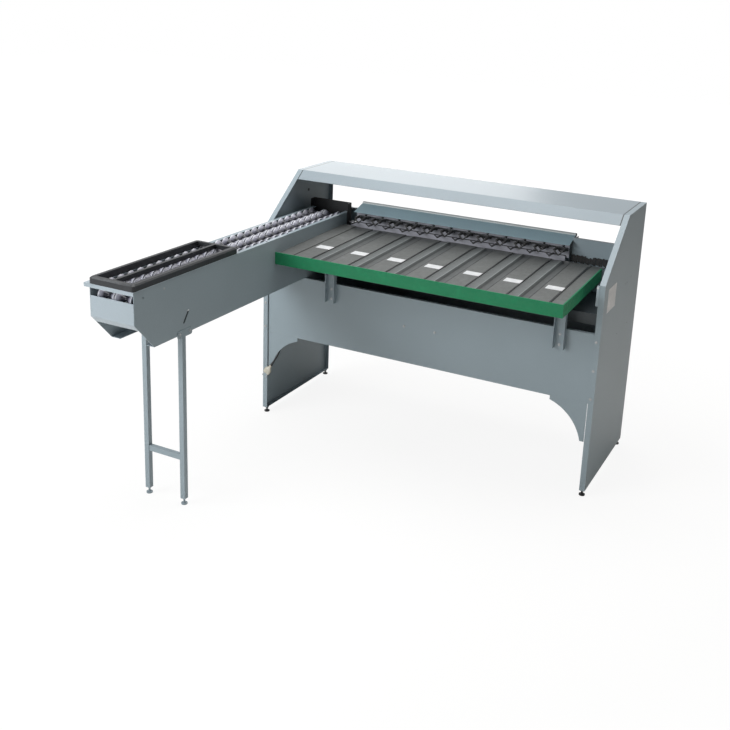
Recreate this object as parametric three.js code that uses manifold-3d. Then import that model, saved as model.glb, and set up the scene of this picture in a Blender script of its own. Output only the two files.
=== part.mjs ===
// Egg grading machine: a two-row roller infeed, twelve weighing cups fed by a walking beam,
// and a sloped collection table with seven lanes, in a sheet-metal body on levelling feet.
// Millimetres, +X along the machine from infeed to last lane, +Y to the back, +Z up.
// The drawing frame has X 0 at the left side, Y 0 at the front of the body and Z 0 on the floor.
// The exported group moves that frame so that the origin is the bottom centre of the whole machine.
import * as THREE from "three";
import { mergeVertices } from "three/addons/utils/BufferGeometryUtils.js";
import Module from "manifold-3d";

const wasm = await Module();
wasm.setup();

// Driving dimensions shared by many pieces
const sheet = 2; // thickness of the sheet metal
const gap = 0.3; // clearance where two pieces touch
const overrun = 5; // how far a cutting tool passes its piece
const weld = 0.01; // corners closer than this are one corner

// The deck carries the scales, and its height sets the level of all that stands on it or above it
const deck = { height: 730, front: 60, back: 530, lip: 44 };
const aboveDeck = {
  postFoot: 12,
  table: 105,
  beamFoot: 106,
  knee: 133,
  beamEdge: 138,
  rearPanel: 142,
  infeed: 170,
  shaft: 175,
  backPanel: 211,
  canopy: 349,
};

// Body: two side panels carry everything between them
const body = {
  length: 1500,
  depth: 556,
  height: deck.height + aboveDeck.canopy,
  kneeHeight: deck.height + aboveDeck.knee,
  topFront: 275,
  bottom: 24,
  flange: 22,
};
const cableHole = { y: 364, belowTop: 108, radius: 5 };

// Panels between the sides; the front one lies back from the flanges beside it
const frontPanel = { bottom: 388, belowDeck: 61, returnDepth: 16, recess: 6 };
const rearPanel = { bottom: 388, top: deck.height + aboveDeck.rearPanel, returnDepth: 16 };
const gusset = { reach: 149, drop: 160, tip: 16, strip: 17, radius: 193, slit: 3 };
const canopy = { frontLip: 56, rearLip: 30 };

// Infeed conveyor: position of its outer faces and its end
const infeed = {
  right: 222,
  width: 189.3,
  front: -1101.6,
  back: 354,
  top: deck.height + aboveDeck.infeed,
  depthBelow: 220.7,
  endPanelDrop: 115,
  chamferRun: 98,
  bottomFlange: 39,
  topFlange: 18,
  lipLength: 34,
  windowHeight: 26,
};
const sideHole = { fromFront: 47, belowTop: 28, radius: 4 };
const sideSlot = { fromFront: 287, belowTop: 141, run: 26, fall: 38, radius: 4.5 };
const roller = {
  pitch: 50.8,
  teeth: 6,
  rodRadius: 4,
  endRadius: 22,
  waistRadius: 9,
  length: 70,
  middleGap: 4,
  axisBelowTop: 16,
  runCount: 26,
  sides: 8,
};
const chain = { strip: 4, height: 10, wallGap: 7.3, guideWidth: 3 };
const reel = { shaftRadius: 8, discThickness: 4, discGap: 1, discRootGap: 2.5, tabWidth: 9 };
const reelBearing = { depth: 6, radius: 16 };
const shelf = { leftReach: 22, rightReach: 2, frontReach: 4, lip: 14 };
const loading = { length: 590, height: 24, rail: 19, divider: 12, dividerUnder: 7, round: 9, edge: 5 };
const endStop = { rise: 38, lap: 16 };

// Leg frame under the outer part of the conveyor
const leg = { tube: 20, y: -840, crossBottom: 181, crossHeight: 22 };
const legPlate = { length: 82, rise: 16, drop: 10, round: 8, thickness: 3 };
const foot = { discRadius: 12, discHeight: 5, stemRadius: 4, nutRadius: 8, nutHeight: 6, inset: 13 };

// Collection table, measured in its own plane
const table = {
  front: -254.5,
  back: 306,
  frontHeight: deck.height + aboveDeck.table,
  rise: 13.2,
  firstLane: 288.6,
  lanes: 7,
  roomRight: 79,
  endStrip: 59.9,
  joggle: 3,
  ridge: 18,
};
const tableEdge = body.length - table.roomRight;
const step = (tableEdge - table.endStrip - table.firstLane) / (2 * table.lanes - 1); // half a lane's pitch
const ridgeShares = [
  [0, 0],
  [0.4, 1],
  [0.47, 1],
  [0.64, 0.33],
  [1, 0.33],
  [1, 0],
];
const bumper = { thickness: 5, above: 12, below: 38, sideLength: 500, sideGap: 5 };
const bracket = { bottom: 588, width: 44, projection: 18, fromLeft: 342, fromRight: 155 };
const bearer = { front: 226, width: 26 };

// Weighing cups on their pivot shaft, and what carries them
const scale = {
  count: 12,
  first: 330.5,
  shaftY: 345,
  shaftZ: deck.height + aboveDeck.shaft,
  shaftRadius: 6,
  wire: 4,
  cupWidth: 36,
  cupFront: 99,
  cupBack: 55,
  veeTop: 3,
  veeBottom: 23,
  armThickness: 4,
  armHeight: 6,
  armKnee: 44,
  armKneeDrop: 4,
  hubRadius: 10,
  hubWidth: 16,
  weightRadius: 13,
  weightWidth: 28,
  weightReach: 56,
};
const lastCup = scale.first + (scale.count - 1) * step;
const endPlate = { front: 318, back: 430, roomLeft: 47.5, roomRight: 25 };
const cover = { front: 296, frontRise: 13, back: 374, backRise: 38, tail: 14, overhang: 3 };
const bead = { radius: 7, startAngle: 160 };

// Walking beam, its forks and its lift frame
const beam = {
  roomLeft: 68.5,
  roomRight: 12,
  front: 308,
  thickness: 3,
  bottom: deck.height + aboveDeck.beamFoot,
  top: deck.height + aboveDeck.beamEdge,
  shoe: 60,
  shoeInset: 218,
  shoeDepth: 18,
  shoeHeight: 10,
};
const beamLeft = scale.first - beam.roomLeft;
const beamRight = lastCup + beam.roomRight;
const fork = { bar: 3, barDrop: 14, arm: 6, armHeight: 5, reach: 262, width: 26, rise: 8, thickness: 5 };
const lift = { inset: 178, railDepth: 14, railHeight: 18, postRadius: 7, postInset: 60 };
const bush = { radius: 15, height: 34 };

// Drive on the base pan
const drive = {
  x: 680,
  y: 300,
  boxWidth: 110,
  boxDepth: 100,
  boxHeight: 120,
  motorRadius: 52,
  motorLength: 190,
  motorFin: 4,
  fins: 12,
  foot: 8,
  discRadius: 26,
  discThickness: 8,
  throwRadius: 16,
  pinRadius: 6,
  pinLength: 14,
};

// Reject lane at the right end
const backPanel = { y: 335, top: deck.height + aboveDeck.backPanel, returnDepth: 15 };
const flap = { thickness: 4, height: 24, neck: 17, insetLeft: 9, insetRight: 4, tooth: 12 };
const flapSlit = { width: 2, depth: 14 };
const flapNeckShares = [0.4, 0.62];

// Power cord: terminal box, coil laid on the base pan, hanging end with its plug
const cord = {
  diameter: 7,
  sides: 8,
  coilSides: 6,
  loopSteps: 24,
  innerRadius: 28,
  loops: 6.25,
  loopsBelow: 3.5,
  climbTurns: 0.25,
  descentTurns: 0.3,
  layerPitch: 7.9,
  turnPitch: 7.9,
  coilX: 150,
  coilY: 130,
};
const grommet = { x: 84, y: 40, radius: 9 };
const terminal = { width: 90, depth: 70, height: 60, margin: 14 };
const gland = { radius: 8, length: 30, tipRadius: 5.4 };
const plug = { length: 42, width: 34, thickness: 15, pin: 4, pinLength: 19, pinSpacing: 19, pinCollar: 9 };

// Materials, one for each finish
const finish = (color, roughness, metalness) =>
  new THREE.MeshStandardMaterial({ color, roughness, metalness });
const paint = finish(0x9aa9b2, 0.5, 0.25);
const darkPaint = finish(0x4d575c, 0.55, 0.3);
const steelGrey = finish(0x7b7d78, 0.45, 0.6);
const zinc = finish(0xb9bdbf, 0.35, 0.8);
const green = finish(0x12804f, 0.6, 0);
const blackPlastic = finish(0x1d1f22, 0.55, 0);
const rubber = finish(0x141414, 0.85, 0);
const paleNylon = finish(0xe4e4de, 0.5, 0);
const paleSheet = finish(0xc9d2d6, 0.45, 0.3);
const beige = finish(0xd9d4c2, 0.5, 0);

const machine = new THREE.Group();
const place = new THREE.Group();
machine.add(place);

function addMesh(name, geometry, material, parent = place) {
  const mesh = new THREE.Mesh(geometry, material);
  mesh.name = name;
  parent.add(mesh);
  return mesh;
}

// Closed geometry to a manifold solid and back, for joins and cuts
function solidOf(geometry) {
  const bare = geometry.index ? geometry.toNonIndexed() : geometry.clone();
  bare.deleteAttribute("normal");
  bare.deleteAttribute("uv");
  const merged = mergeVertices(bare, weld);
  const vertProperties = new Float32Array(merged.attributes.position.array);
  const triVerts = new Uint32Array(merged.index.array);
  const mesh = new wasm.Mesh({ numProp: 3, vertProperties, triVerts });
  mesh.merge();
  return new wasm.Manifold(mesh);
}

function geometryOf(solid) {
  const mesh = solid.getMesh();
  const geometry = new THREE.BufferGeometry();
  geometry.setAttribute("position", new THREE.BufferAttribute(new Float32Array(mesh.vertProperties), 3));
  geometry.setIndex(new THREE.BufferAttribute(new Uint32Array(mesh.triVerts), 1));
  const flat = geometry.toNonIndexed();
  flat.computeVertexNormals();
  return flat;
}

const join = (...geometries) => geometryOf(geometries.map(solidOf).reduce((a, b) => a.add(b)));
const cut = (geometry, ...tools) =>
  geometryOf(tools.map(solidOf).reduce((a, b) => a.subtract(b), solidOf(geometry)));

// Straight block between two corners
function block(x0, x1, y0, y1, z0, z1) {
  const geometry = new THREE.BoxGeometry(x1 - x0, y1 - y0, z1 - z0);
  return geometry.translate((x0 + x1) / 2, (y0 + y1) / 2, (z0 + z1) / 2);
}

// Outline of [u, v] points extruded along X (u is Y, v is Z), along Y (u is X, v is Z) or along Z
const basisOf = {
  x: new THREE.Matrix4().makeBasis(
    new THREE.Vector3(0, 1, 0),
    new THREE.Vector3(0, 0, 1),
    new THREE.Vector3(1, 0, 0),
  ),
  y: new THREE.Matrix4().makeBasis(
    new THREE.Vector3(1, 0, 0),
    new THREE.Vector3(0, 0, 1),
    new THREE.Vector3(0, -1, 0),
  ),
  z: new THREE.Matrix4(),
};

function prism(axis, outline, from, to, holes = []) {
  const shape = new THREE.Shape(outline.map(([u, v]) => new THREE.Vector2(u, v)));
  shape.holes = holes.map((hole) => new THREE.Path(hole.map(([u, v]) => new THREE.Vector2(u, v))));
  const geometry = new THREE.ExtrudeGeometry(shape, { depth: to - from, bevelEnabled: false, steps: 1 });
  geometry.applyMatrix4(basisOf[axis]);
  if (axis === "x") geometry.translate(from, 0, 0);
  if (axis === "y") geometry.translate(0, to, 0);
  if (axis === "z") geometry.translate(0, 0, from);
  return geometry;
}

// Round bar along an axis from one coordinate to the other
function bar(axis, u, v, radius, from, to, sides = 16) {
  const outline = circle(u, v, radius, sides);
  return prism(axis, outline, from, to);
}

function circle(u, v, radius, sides = 16) {
  const points = [];
  for (let i = 0; i < sides; i++) {
    const angle = ((i + 0.5) / sides) * 2 * Math.PI;
    points.push([u + radius * Math.cos(angle), v + radius * Math.sin(angle)]);
  }
  return points;
}

// Arc points around (u, v), angles in degrees
function arc(u, v, radius, start, end, steps) {
  const points = [];
  for (let i = 0; i <= steps; i++) {
    const angle = ((start + ((end - start) * i) / steps) * Math.PI) / 180;
    points.push([u + radius * Math.cos(angle), v + radius * Math.sin(angle)]);
  }
  return points;
}

// Where the two neighbours of a corner meet when both move left by the same distance
function mitre(before, corner, after, distance) {
  const first = new THREE.Vector2(corner[0] - before[0], corner[1] - before[1]).normalize();
  const second = new THREE.Vector2(after[0] - corner[0], after[1] - corner[1]).normalize();
  const bisector = new THREE.Vector2(-first.y - second.y, first.x + second.x).normalize();
  const reach = distance / (bisector.x * -first.y + bisector.y * first.x);
  return [corner[0] + bisector.x * reach, corner[1] + bisector.y * reach];
}

// Closed outline moved inwards; the outline runs anticlockwise
function inset(outline, distance) {
  const n = outline.length;
  return outline.map((corner, i) => mitre(outline[(i + n - 1) % n], corner, outline[(i + 1) % n], distance));
}

// Outline of a folded sheet whose one face follows the path; the sheet lies to the path's left
function folded(path, thickness) {
  const last = path.length - 1;
  const inner = path.map((corner, i) => {
    const ahead = i < last ? path[i + 1] : [2 * corner[0] - path[i - 1][0], 2 * corner[1] - path[i - 1][1]];
    const behind = i > 0 ? path[i - 1] : [2 * corner[0] - path[1][0], 2 * corner[1] - path[1][1]];
    return mitre(behind, corner, ahead, thickness);
  });
  return [...path, ...inner.reverse()];
}

// Tube of a regular section along points, mitred at the corners; a closed tube joins its ends
function tube(points, radius, sides, closed = false) {
  const path = points.map(([x, y, z]) => new THREE.Vector3(x, y, z));
  const n = path.length;
  const legs = path.map((p, i) => new THREE.Vector3().subVectors(path[(i + 1) % n], p).normalize());
  const tangentAt = (i) => {
    const before = closed || i > 0 ? legs[(i + n - 1) % n] : legs[0];
    const after = closed || i < n - 1 ? legs[i] : legs[n - 2];
    return { before, after, bisector: new THREE.Vector3().addVectors(before, after).normalize() };
  };
  let side = new THREE.Vector3(0, 0, 1);
  if (Math.abs(legs[0].z) > 0.9) side.set(1, 0, 0);
  const positions = [];
  for (let i = 0; i < n; i++) {
    const { before, bisector } = tangentAt(i);
    side.sub(before.clone().multiplyScalar(side.dot(before))).normalize();
    const other = new THREE.Vector3().crossVectors(before, side);
    for (let k = 0; k < sides; k++) {
      const angle = (k / sides) * 2 * Math.PI;
      const spoke = side.clone().multiplyScalar(Math.cos(angle)).addScaledVector(other, Math.sin(angle));
      const slide = -spoke.dot(bisector) / before.dot(bisector);
      const corner = path[i].clone().addScaledVector(spoke, radius).addScaledVector(before, radius * slide);
      positions.push(corner.x, corner.y, corner.z);
    }
    const turn = new THREE.Quaternion().setFromUnitVectors(before, tangentAt(i).after);
    side.applyQuaternion(turn);
  }
  const index = [];
  const rings = closed ? n : n - 1;
  const twist = closed ? seamTwist(positions, sides, n) : 0;
  for (let i = 0; i < rings; i++) {
    const next = (i + 1) % n;
    const offset = closed && next === 0 ? twist : 0;
    for (let k = 0; k < sides; k++) {
      const a = i * sides + k;
      const b = i * sides + ((k + 1) % sides);
      const c = next * sides + ((k + 1 + offset) % sides);
      const d = next * sides + ((k + offset) % sides);
      index.push(a, b, c, a, c, d);
    }
  }
  if (!closed) {
    for (let k = 1; k < sides - 1; k++) {
      index.push(0, k + 1, k);
      const last = (n - 1) * sides;
      index.push(last, last + k, last + k + 1);
    }
  }
  const geometry = new THREE.BufferGeometry();
  geometry.setAttribute("position", new THREE.Float32BufferAttribute(positions, 3));
  geometry.setIndex(index);
  return geometry;
}

// Corner count by which the last ring of a closed tube is turned against the first
function seamTwist(positions, sides, n) {
  const cornerAt = (ring, k) => new THREE.Vector3().fromArray(positions, (ring * sides + (k % sides)) * 3);
  const half = Math.floor(sides / 2);
  const run = new THREE.Vector3().subVectors(cornerAt(n - 1, 0), cornerAt(n - 1, half));
  let best = 0;
  let most = -Infinity;
  for (let k = 0; k < sides; k++) {
    const candidate = new THREE.Vector3().subVectors(cornerAt(0, k), cornerAt(0, k + half));
    const alike = candidate.dot(run);
    if (alike > most) {
      most = alike;
      best = k;
    }
  }
  return best;
}

// Side panels: a tray of sheet with a flange all round its edge, open to the inside
const sideOutline = [
  [0, body.bottom],
  [body.depth, body.bottom],
  [body.depth, body.height],
  [body.topFront, body.height],
  [0, body.kneeHeight],
];

function sidePanel(outer, inner) {
  const inwards = Math.sign(inner - outer);
  const tray = prism("x", sideOutline, Math.min(outer, inner), Math.max(outer, inner));
  const floor = outer + inwards * sheet;
  const mouth = inner + inwards * overrun;
  const hollow = prism("x", inset(sideOutline, sheet), Math.min(floor, mouth), Math.max(floor, mouth));
  return cut(tray, hollow);
}

const holeHeight = body.height - cableHole.belowTop;
const leftHole = bar("x", cableHole.y, holeHeight, cableHole.radius, -overrun, body.flange, 12);
addMesh("side_panel_left", cut(sidePanel(0, body.flange), leftHole), paint);
addMesh("side_panel_right", sidePanel(body.length, body.length - body.flange), paint);

// Space between the side panels: inside their sheets, and between their flanges
const insideLeft = sheet + gap;
const insideRight = body.length - sheet - gap;
const clearLeft = body.flange + gap;
const clearRight = body.length - body.flange - gap;

// Canopy: a flat top flush with the flanges, a short rear lip, and a front lip that is bent down along
// the slope of the side panels
const slopeLength = Math.hypot(body.topFront, body.height - body.kneeHeight);
const canopyLipShare = canopy.frontLip / slopeLength;
const canopyPath = [
  [body.depth, body.height - canopy.rearLip],
  [body.depth, body.height],
  [body.topFront, body.height],
  [
    body.topFront * (1 - canopyLipShare),
    body.height - (body.height - body.kneeHeight) * canopyLipShare,
  ],
];
addMesh("canopy", prism("x", folded(canopyPath, sheet), clearLeft, clearRight), paint);

// Front panel and rear panel: sheets with a return along the top and the bottom
const frontPanelTop = deck.height - frontPanel.belowDeck;
const frontReturn = frontPanel.recess + frontPanel.returnDepth;
const frontPath = [
  [frontReturn, frontPanelTop],
  [frontPanel.recess, frontPanelTop],
  [frontPanel.recess, frontPanel.bottom],
  [frontReturn, frontPanel.bottom],
];
const rearFace = body.depth;
const rearPath = [
  [rearFace - rearPanel.returnDepth, rearPanel.bottom],
  [rearFace, rearPanel.bottom],
  [rearFace, rearPanel.top],
  [rearFace - rearPanel.returnDepth, rearPanel.top],
];
addMesh("front_panel", prism("x", folded(frontPath, sheet), clearLeft, clearRight), paint);
addMesh("rear_panel", prism("x", folded(rearPath, sheet), clearLeft, clearRight), paint);

// Arc from one point to another with the given radius, bulging to the left of the way between them
function arcBetween([u0, v0], [u1, v1], radius, steps) {
  const half = Math.hypot(u1 - u0, v1 - v0) / 2;
  const back = Math.sqrt(radius * radius - half * half) / (2 * half);
  const u = (u0 + u1) / 2 + (v1 - v0) * back;
  const v = (v0 + v1) / 2 - (u1 - u0) * back;
  const start = THREE.MathUtils.radToDeg(Math.atan2(v0 - v, u0 - u));
  const sweep = THREE.MathUtils.radToDeg(2 * Math.asin(half / radius));
  return arc(u, v, radius, start, start - sweep, steps);
}

// Corner gussets below the front panel, with a hollow round edge and a narrow slit beside the flange
function gussetPlate() {
  const top = frontPanel.bottom - gap;
  const outline = [
    [0, top - gusset.drop],
    ...arcBetween([gusset.strip, top - gusset.drop], [gusset.reach, top - gusset.tip], gusset.radius, 12),
    [gusset.reach, top],
    [0, top],
  ];
  return prism("y", outline, frontPanel.recess, frontPanel.recess + sheet);
}

const mirrored = new THREE.Matrix4().makeRotationZ(Math.PI);
const gussetRight = gussetPlate().applyMatrix4(mirrored).translate(clearRight - gusset.slit, 0, 0);
addMesh("gusset_left", gussetPlate().translate(clearLeft + gusset.slit, 0, 0), paint);
addMesh("gusset_right", gussetRight.translate(0, 2 * frontPanel.recess + sheet, 0), paint);

// Base pan: lies on the returns of the front and rear panels and carries the drive
const panTop = frontPanel.bottom + 2 * sheet + gap;
const panFront = frontPanel.recess + sheet + gap;
const panSheet = block(insideLeft, insideRight, panFront, body.depth - sheet - gap, panTop - sheet, panTop);
const throughPan = [panTop - sheet - overrun, panTop + overrun];
const grommetHole = bar("z", grommet.x, grommet.y, grommet.radius, ...throughPan, 12);
addMesh("base_pan", cut(panSheet, grommetHole), darkPaint);

// Height of the sloped table's surface at any depth
const slope = Math.atan2(table.rise, table.back - table.front);
const tableAt = (y) => table.frontHeight + (y - table.front) * Math.tan(slope);

// Deck between conveyor and right side panel: carries the scales and, on a folded rail, the rear of the table
const deckLeft = infeed.right + gap;
const deckPath = [
  [deck.back, deck.height - deck.lip],
  [deck.back, deck.height],
  [deck.front, deck.height],
  [deck.front, deck.height - deck.lip],
];
const railY = beam.front + beam.thickness + gap + lift.railDepth / 2;
const liftLeft = beamLeft + lift.inset;
const liftRight = beamRight - lift.inset + step;
const postAt = [liftLeft + lift.postInset, liftRight - lift.postInset];
const bushes = postAt.map((x) =>
  bar("z", x, railY, bush.radius, deck.height - sheet, deck.height + bush.height, 16),
);
const throughBush = [deck.height - sheet - overrun, deck.height + bush.height + overrun];
const bores = postAt.map((x) => bar("z", x, railY, lift.postRadius + gap, ...throughBush, 16));
const deckSheet = prism("x", folded(deckPath, sheet), deckLeft, insideRight);
const underTable = (y) => tableAt(y) - (table.joggle + sheet) / Math.cos(slope) - gap;
const bearerTop = underTable(bearer.front);
const bearerPath = [
  [bearer.front, bearerTop],
  [bearer.front + bearer.width, bearerTop],
  [bearer.front + bearer.width, deck.height - sheet / 2],
];
const bearerEnds = [table.firstLane, table.firstLane + (2 * table.lanes - 1) * step];
const bearerRail = prism("x", folded(bearerPath.reverse(), sheet), ...bearerEnds);
addMesh("mechanism_deck", cut(join(deckSheet, bearerRail, ...bushes), ...bores), darkPaint);

// Infeed conveyor: values that several of its pieces share
const infeedLeft = infeed.right - infeed.width;
const infeedBottom = infeed.top - infeed.depthBelow;
const infeedMiddle = (infeedLeft + infeed.right) / 2;
const webLeft = infeedLeft + sheet;
const webRight = infeed.right - sheet;
const endPanelBottom = infeed.top - infeed.endPanelDrop;
const rollerAxis = infeed.top - roller.axisBelowTop;
const pitchRadius = roller.pitch / (2 * Math.sin(Math.PI / roller.teeth));
const reelAxisZ = rollerAxis - pitchRadius;
const tailY = infeed.front + sheet + gap + pitchRadius + roller.endRadius + sheet;
const headY = tailY + roller.runCount * roller.pitch;
const guideTop = rollerAxis - chain.height / 2 - gap;

// Side plates: a web with flanges turned in at top and bottom, a chamfered outer end,
// a guide for the roller chain and a bearing boss at each reel
const conveyorOutline = [
  [infeed.front, endPanelBottom],
  [infeed.front + infeed.chamferRun, infeedBottom],
  [infeed.back, infeedBottom],
  [infeed.back, infeed.top],
  [infeed.front, infeed.top],
];

function conveyorSide(outer, inwards) {
  const span = (from, to) => [Math.min(from, to), Math.max(from, to)];
  const web = prism("x", conveyorOutline, ...span(outer, outer + inwards * sheet));
  const bottomEdge = outer + inwards * infeed.bottomFlange;
  const topEdge = outer + inwards * infeed.topFlange;
  const chamferEnd = infeed.front + infeed.chamferRun;
  const bottomSpan = span(outer, bottomEdge);
  const bottom = block(...bottomSpan, chamferEnd, infeed.back, infeedBottom, infeedBottom + sheet);
  const top = block(...span(outer, topEdge), infeed.front, infeed.back, infeed.top - sheet, infeed.top);
  const inner = outer + inwards * sheet;
  const guideEdge = inner + inwards * (chain.wallGap + chain.strip + chain.guideWidth);
  const guide = block(...span(outer, guideEdge), tailY, headY, guideTop - sheet, guideTop);
  const bossFace = inner + inwards * reelBearing.depth;
  const boss = (y) => bar("x", y, reelAxisZ, reelBearing.radius, ...span(outer, bossFace), 16);
  const bore = (y) => {
    const ends = span(inner, bossFace + inwards * overrun);
    return bar("x", y, reelAxisZ, reel.shaftRadius + gap, ...ends, 16);
  };
  const plate = join(web, bottom, top, guide, boss(tailY), boss(headY));
  const through = span(outer - inwards * overrun, inner + inwards * overrun);
  const holeAt = [infeed.front + sideHole.fromFront, infeed.top - sideHole.belowTop];
  const openings = [
    bar("x", ...holeAt, sideHole.radius, ...through, 10),
    prism("x", sideSlotOutline(), ...through),
  ];
  const reliefs = [reelRelief(inner, inwards, tailY), reelRelief(inner, inwards, headY)];
  return cut(plate, bore(tailY), bore(headY), ...reliefs, ...openings);
}

// Oblique slot with round ends
function sideSlotOutline() {
  const upper = [infeed.front + sideSlot.fromFront, infeed.top - sideSlot.belowTop];
  const lower = [upper[0] - sideSlot.run, upper[1] - sideSlot.fall];
  const heading = THREE.MathUtils.radToDeg(Math.atan2(sideSlot.fall, sideSlot.run));
  return [
    ...arc(...upper, sideSlot.radius, heading - 90, heading + 90, 5),
    ...arc(...lower, sideSlot.radius, heading + 90, heading + 270, 5),
  ];
}

// The guide stops where the tabs of a reel pass
function reelRelief(inner, inwards, y) {
  const from = inner + inwards * chain.wallGap;
  const to = from + inwards * (chain.strip + chain.guideWidth + overrun);
  const radius = pitchRadius + reel.tabWidth;
  return block(Math.min(from, to), Math.max(from, to), y - radius, y + radius, reelAxisZ, guideTop + gap / 2);
}

addMesh("conveyor_side_left", conveyorSide(infeedLeft, 1), paint);
addMesh("conveyor_side_right", conveyorSide(infeed.right, -1), darkPaint);

// End panel of the conveyor: closes the outer end and follows the chamfer with its lip
const chamferLength = Math.hypot(infeed.chamferRun, endPanelBottom - infeedBottom);
const lipShare = infeed.lipLength / chamferLength;
const endPanelTop = infeed.top - shelf.lip - infeed.windowHeight;
const endPath = [
  [infeed.front, endPanelTop],
  [infeed.front, endPanelBottom],
  [infeed.front + infeed.chamferRun * lipShare, endPanelBottom - (endPanelBottom - infeedBottom) * lipShare],
];
addMesh("conveyor_end_panel", prism("x", folded(endPath, sheet), webLeft + gap, webRight - gap), paleSheet);

// Shelf under the loading frame: a flat rim on the side plates with a lip over the end window
const frameFront = infeed.front - shelf.frontReach;
const frameBack = frameFront + loading.length;
const shelfBottom = infeed.top + gap;
const shelfTop = shelfBottom + sheet;
const shelfLeft = infeedLeft - shelf.leftReach;
const shelfRight = infeed.right + shelf.rightReach;
const windowLeft = infeedLeft + infeed.topFlange;
const windowRight = infeed.right - infeed.topFlange;
const windowFront = frameFront + loading.rail;
const windowBack = frameBack - loading.rail;
const shelfSheet = block(shelfLeft, shelfRight, frameFront, frameBack, shelfBottom, shelfTop);
const shelfWindow = block(
  windowLeft,
  windowRight,
  windowFront,
  frameBack + overrun,
  shelfBottom - overrun,
  shelfTop + overrun,
);
const shelfLip = block(shelfLeft, shelfRight, frameFront, frameFront + sheet, shelfTop - shelf.lip, shelfTop);
addMesh("loading_shelf", join(cut(shelfSheet, shelfWindow), shelfLip), paleSheet);

// Loading frame: a moulded black frame with rounded rails and a divider between the two rows
const frameBottom = shelfTop + gap;
const frameTop = frameBottom + loading.height;

function roundedRectangle(x0, x1, y0, y1, radius, steps) {
  return [
    ...arc(x1 - radius, y0 + radius, radius, 270, 360, steps),
    ...arc(x1 - radius, y1 - radius, radius, 0, 90, steps),
    ...arc(x0 + radius, y1 - radius, radius, 90, 180, steps),
    ...arc(x0 + radius, y0 + radius, radius, 180, 270, steps),
  ];
}

function loadingFrame() {
  const bevel = loading.edge;
  const outer = roundedRectangle(infeedLeft, shelfRight, frameFront, frameBack, loading.round, 3);
  const crown = roundedRectangle(
    infeedLeft + bevel,
    shelfRight - bevel,
    frameFront + bevel,
    frameBack - bevel,
    loading.round,
    3,
  );
  const base = prism("z", outer, frameBottom, frameTop - bevel);
  const top = loft(outer, crown, frameTop - bevel, frameTop);
  const rows = [-1, 1].map((side) => {
    const near = infeedMiddle + (side * loading.divider) / 2;
    const far = side < 0 ? windowLeft : windowRight;
    return block(
      Math.min(near, far),
      Math.max(near, far),
      windowFront,
      windowBack,
      frameBottom - overrun,
      frameTop + overrun,
    );
  });
  const underside = block(
    windowLeft,
    windowRight,
    windowFront,
    frameBack + overrun,
    frameBottom - overrun,
    dividerBottom,
  );
  return cut(join(base, top), ...rows, underside);
}

// Solid between two outlines with the same number of points, one above the other
function loft(lower, upper, z0, z1) {
  const n = lower.length;
  const positions = [];
  lower.forEach(([x, y]) => positions.push(x, y, z0));
  upper.forEach(([x, y]) => positions.push(x, y, z1));
  const index = [];
  for (let i = 0; i < n; i++) {
    const j = (i + 1) % n;
    index.push(i, j, n + j, i, n + j, n + i);
  }
  for (let i = 1; i < n - 1; i++) {
    index.push(0, i + 1, i);
    index.push(n, n + i, n + i + 1);
  }
  const geometry = new THREE.BufferGeometry();
  geometry.setAttribute("position", new THREE.Float32BufferAttribute(positions, 3));
  geometry.setIndex(index);
  return geometry;
}

const dividerBottom = frameBottom + loading.dividerUnder;
addMesh("loading_frame", loadingFrame(), blackPlastic);

// End stop at the inner end of the conveyor: a plate behind the head reel with cheeks that
// lap over the side plates
const stopBack = headY + pitchRadius + roller.endRadius + 2 * sheet;
const stopPath = [
  [infeedLeft - gap, infeed.back - endStop.lap],
  [infeedLeft - gap, stopBack - sheet],
  [infeed.right + gap, stopBack - sheet],
  [infeed.right + gap, infeed.back - endStop.lap],
];
const stopTop = infeed.top + endStop.rise;
addMesh("infeed_end_stop", prism("z", folded(stopPath, sheet), deck.height + gap, stopTop), darkPaint);

// One rod with its two waisted rollers, turned about the X axis
const rodLeft = webLeft + chain.wallGap;
const rodRight = webRight - chain.wallGap;

function rollerRod() {
  const start = rodLeft;
  const half = roller.length / 2;
  const inner = roller.middleGap / 2;
  const profile = [
    [0, rodLeft],
    [roller.rodRadius, rodLeft],
  ];
  [infeedMiddle - inner - roller.length, infeedMiddle + inner].forEach((x) => {
    profile.push([roller.rodRadius, x]);
    profile.push([roller.endRadius, x]);
    profile.push([roller.waistRadius, x + half]);
    profile.push([roller.endRadius, x + roller.length]);
    profile.push([roller.rodRadius, x + roller.length]);
  });
  profile.push([roller.rodRadius, rodRight], [0, rodRight]);
  const points = profile.map(([r, x]) => new THREE.Vector2(r, x - start));
  const turned = new THREE.LatheGeometry(points, roller.sides, Math.PI / roller.sides);
  return turned.applyMatrix4(new THREE.Matrix4().makeBasis(
    new THREE.Vector3(0, 1, 0),
    new THREE.Vector3(1, 0, 0),
    new THREE.Vector3(0, 0, -1),
  )).translate(start, 0, 0);
}

// Top run of the conveyor: rods with rollers between two chain strips
function rollerRun() {
  const rods = [];
  for (let i = 0; i < roller.runCount; i++) {
    rods.push(rollerRod().translate(0, tailY + i * roller.pitch, rollerAxis));
  }
  const from = tailY - chain.height / 2;
  const to = tailY + (roller.runCount - 1) * roller.pitch + chain.height / 2;
  const low = rollerAxis - chain.height / 2;
  const strips = [
    block(rodLeft, rodLeft + chain.strip, from, to, low, low + chain.height),
    block(rodRight - chain.strip, rodRight, from, to, low, low + chain.height),
  ];
  return join(...strips, ...rods);
}

addMesh("roller_run", rollerRun(), paleNylon);

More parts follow.
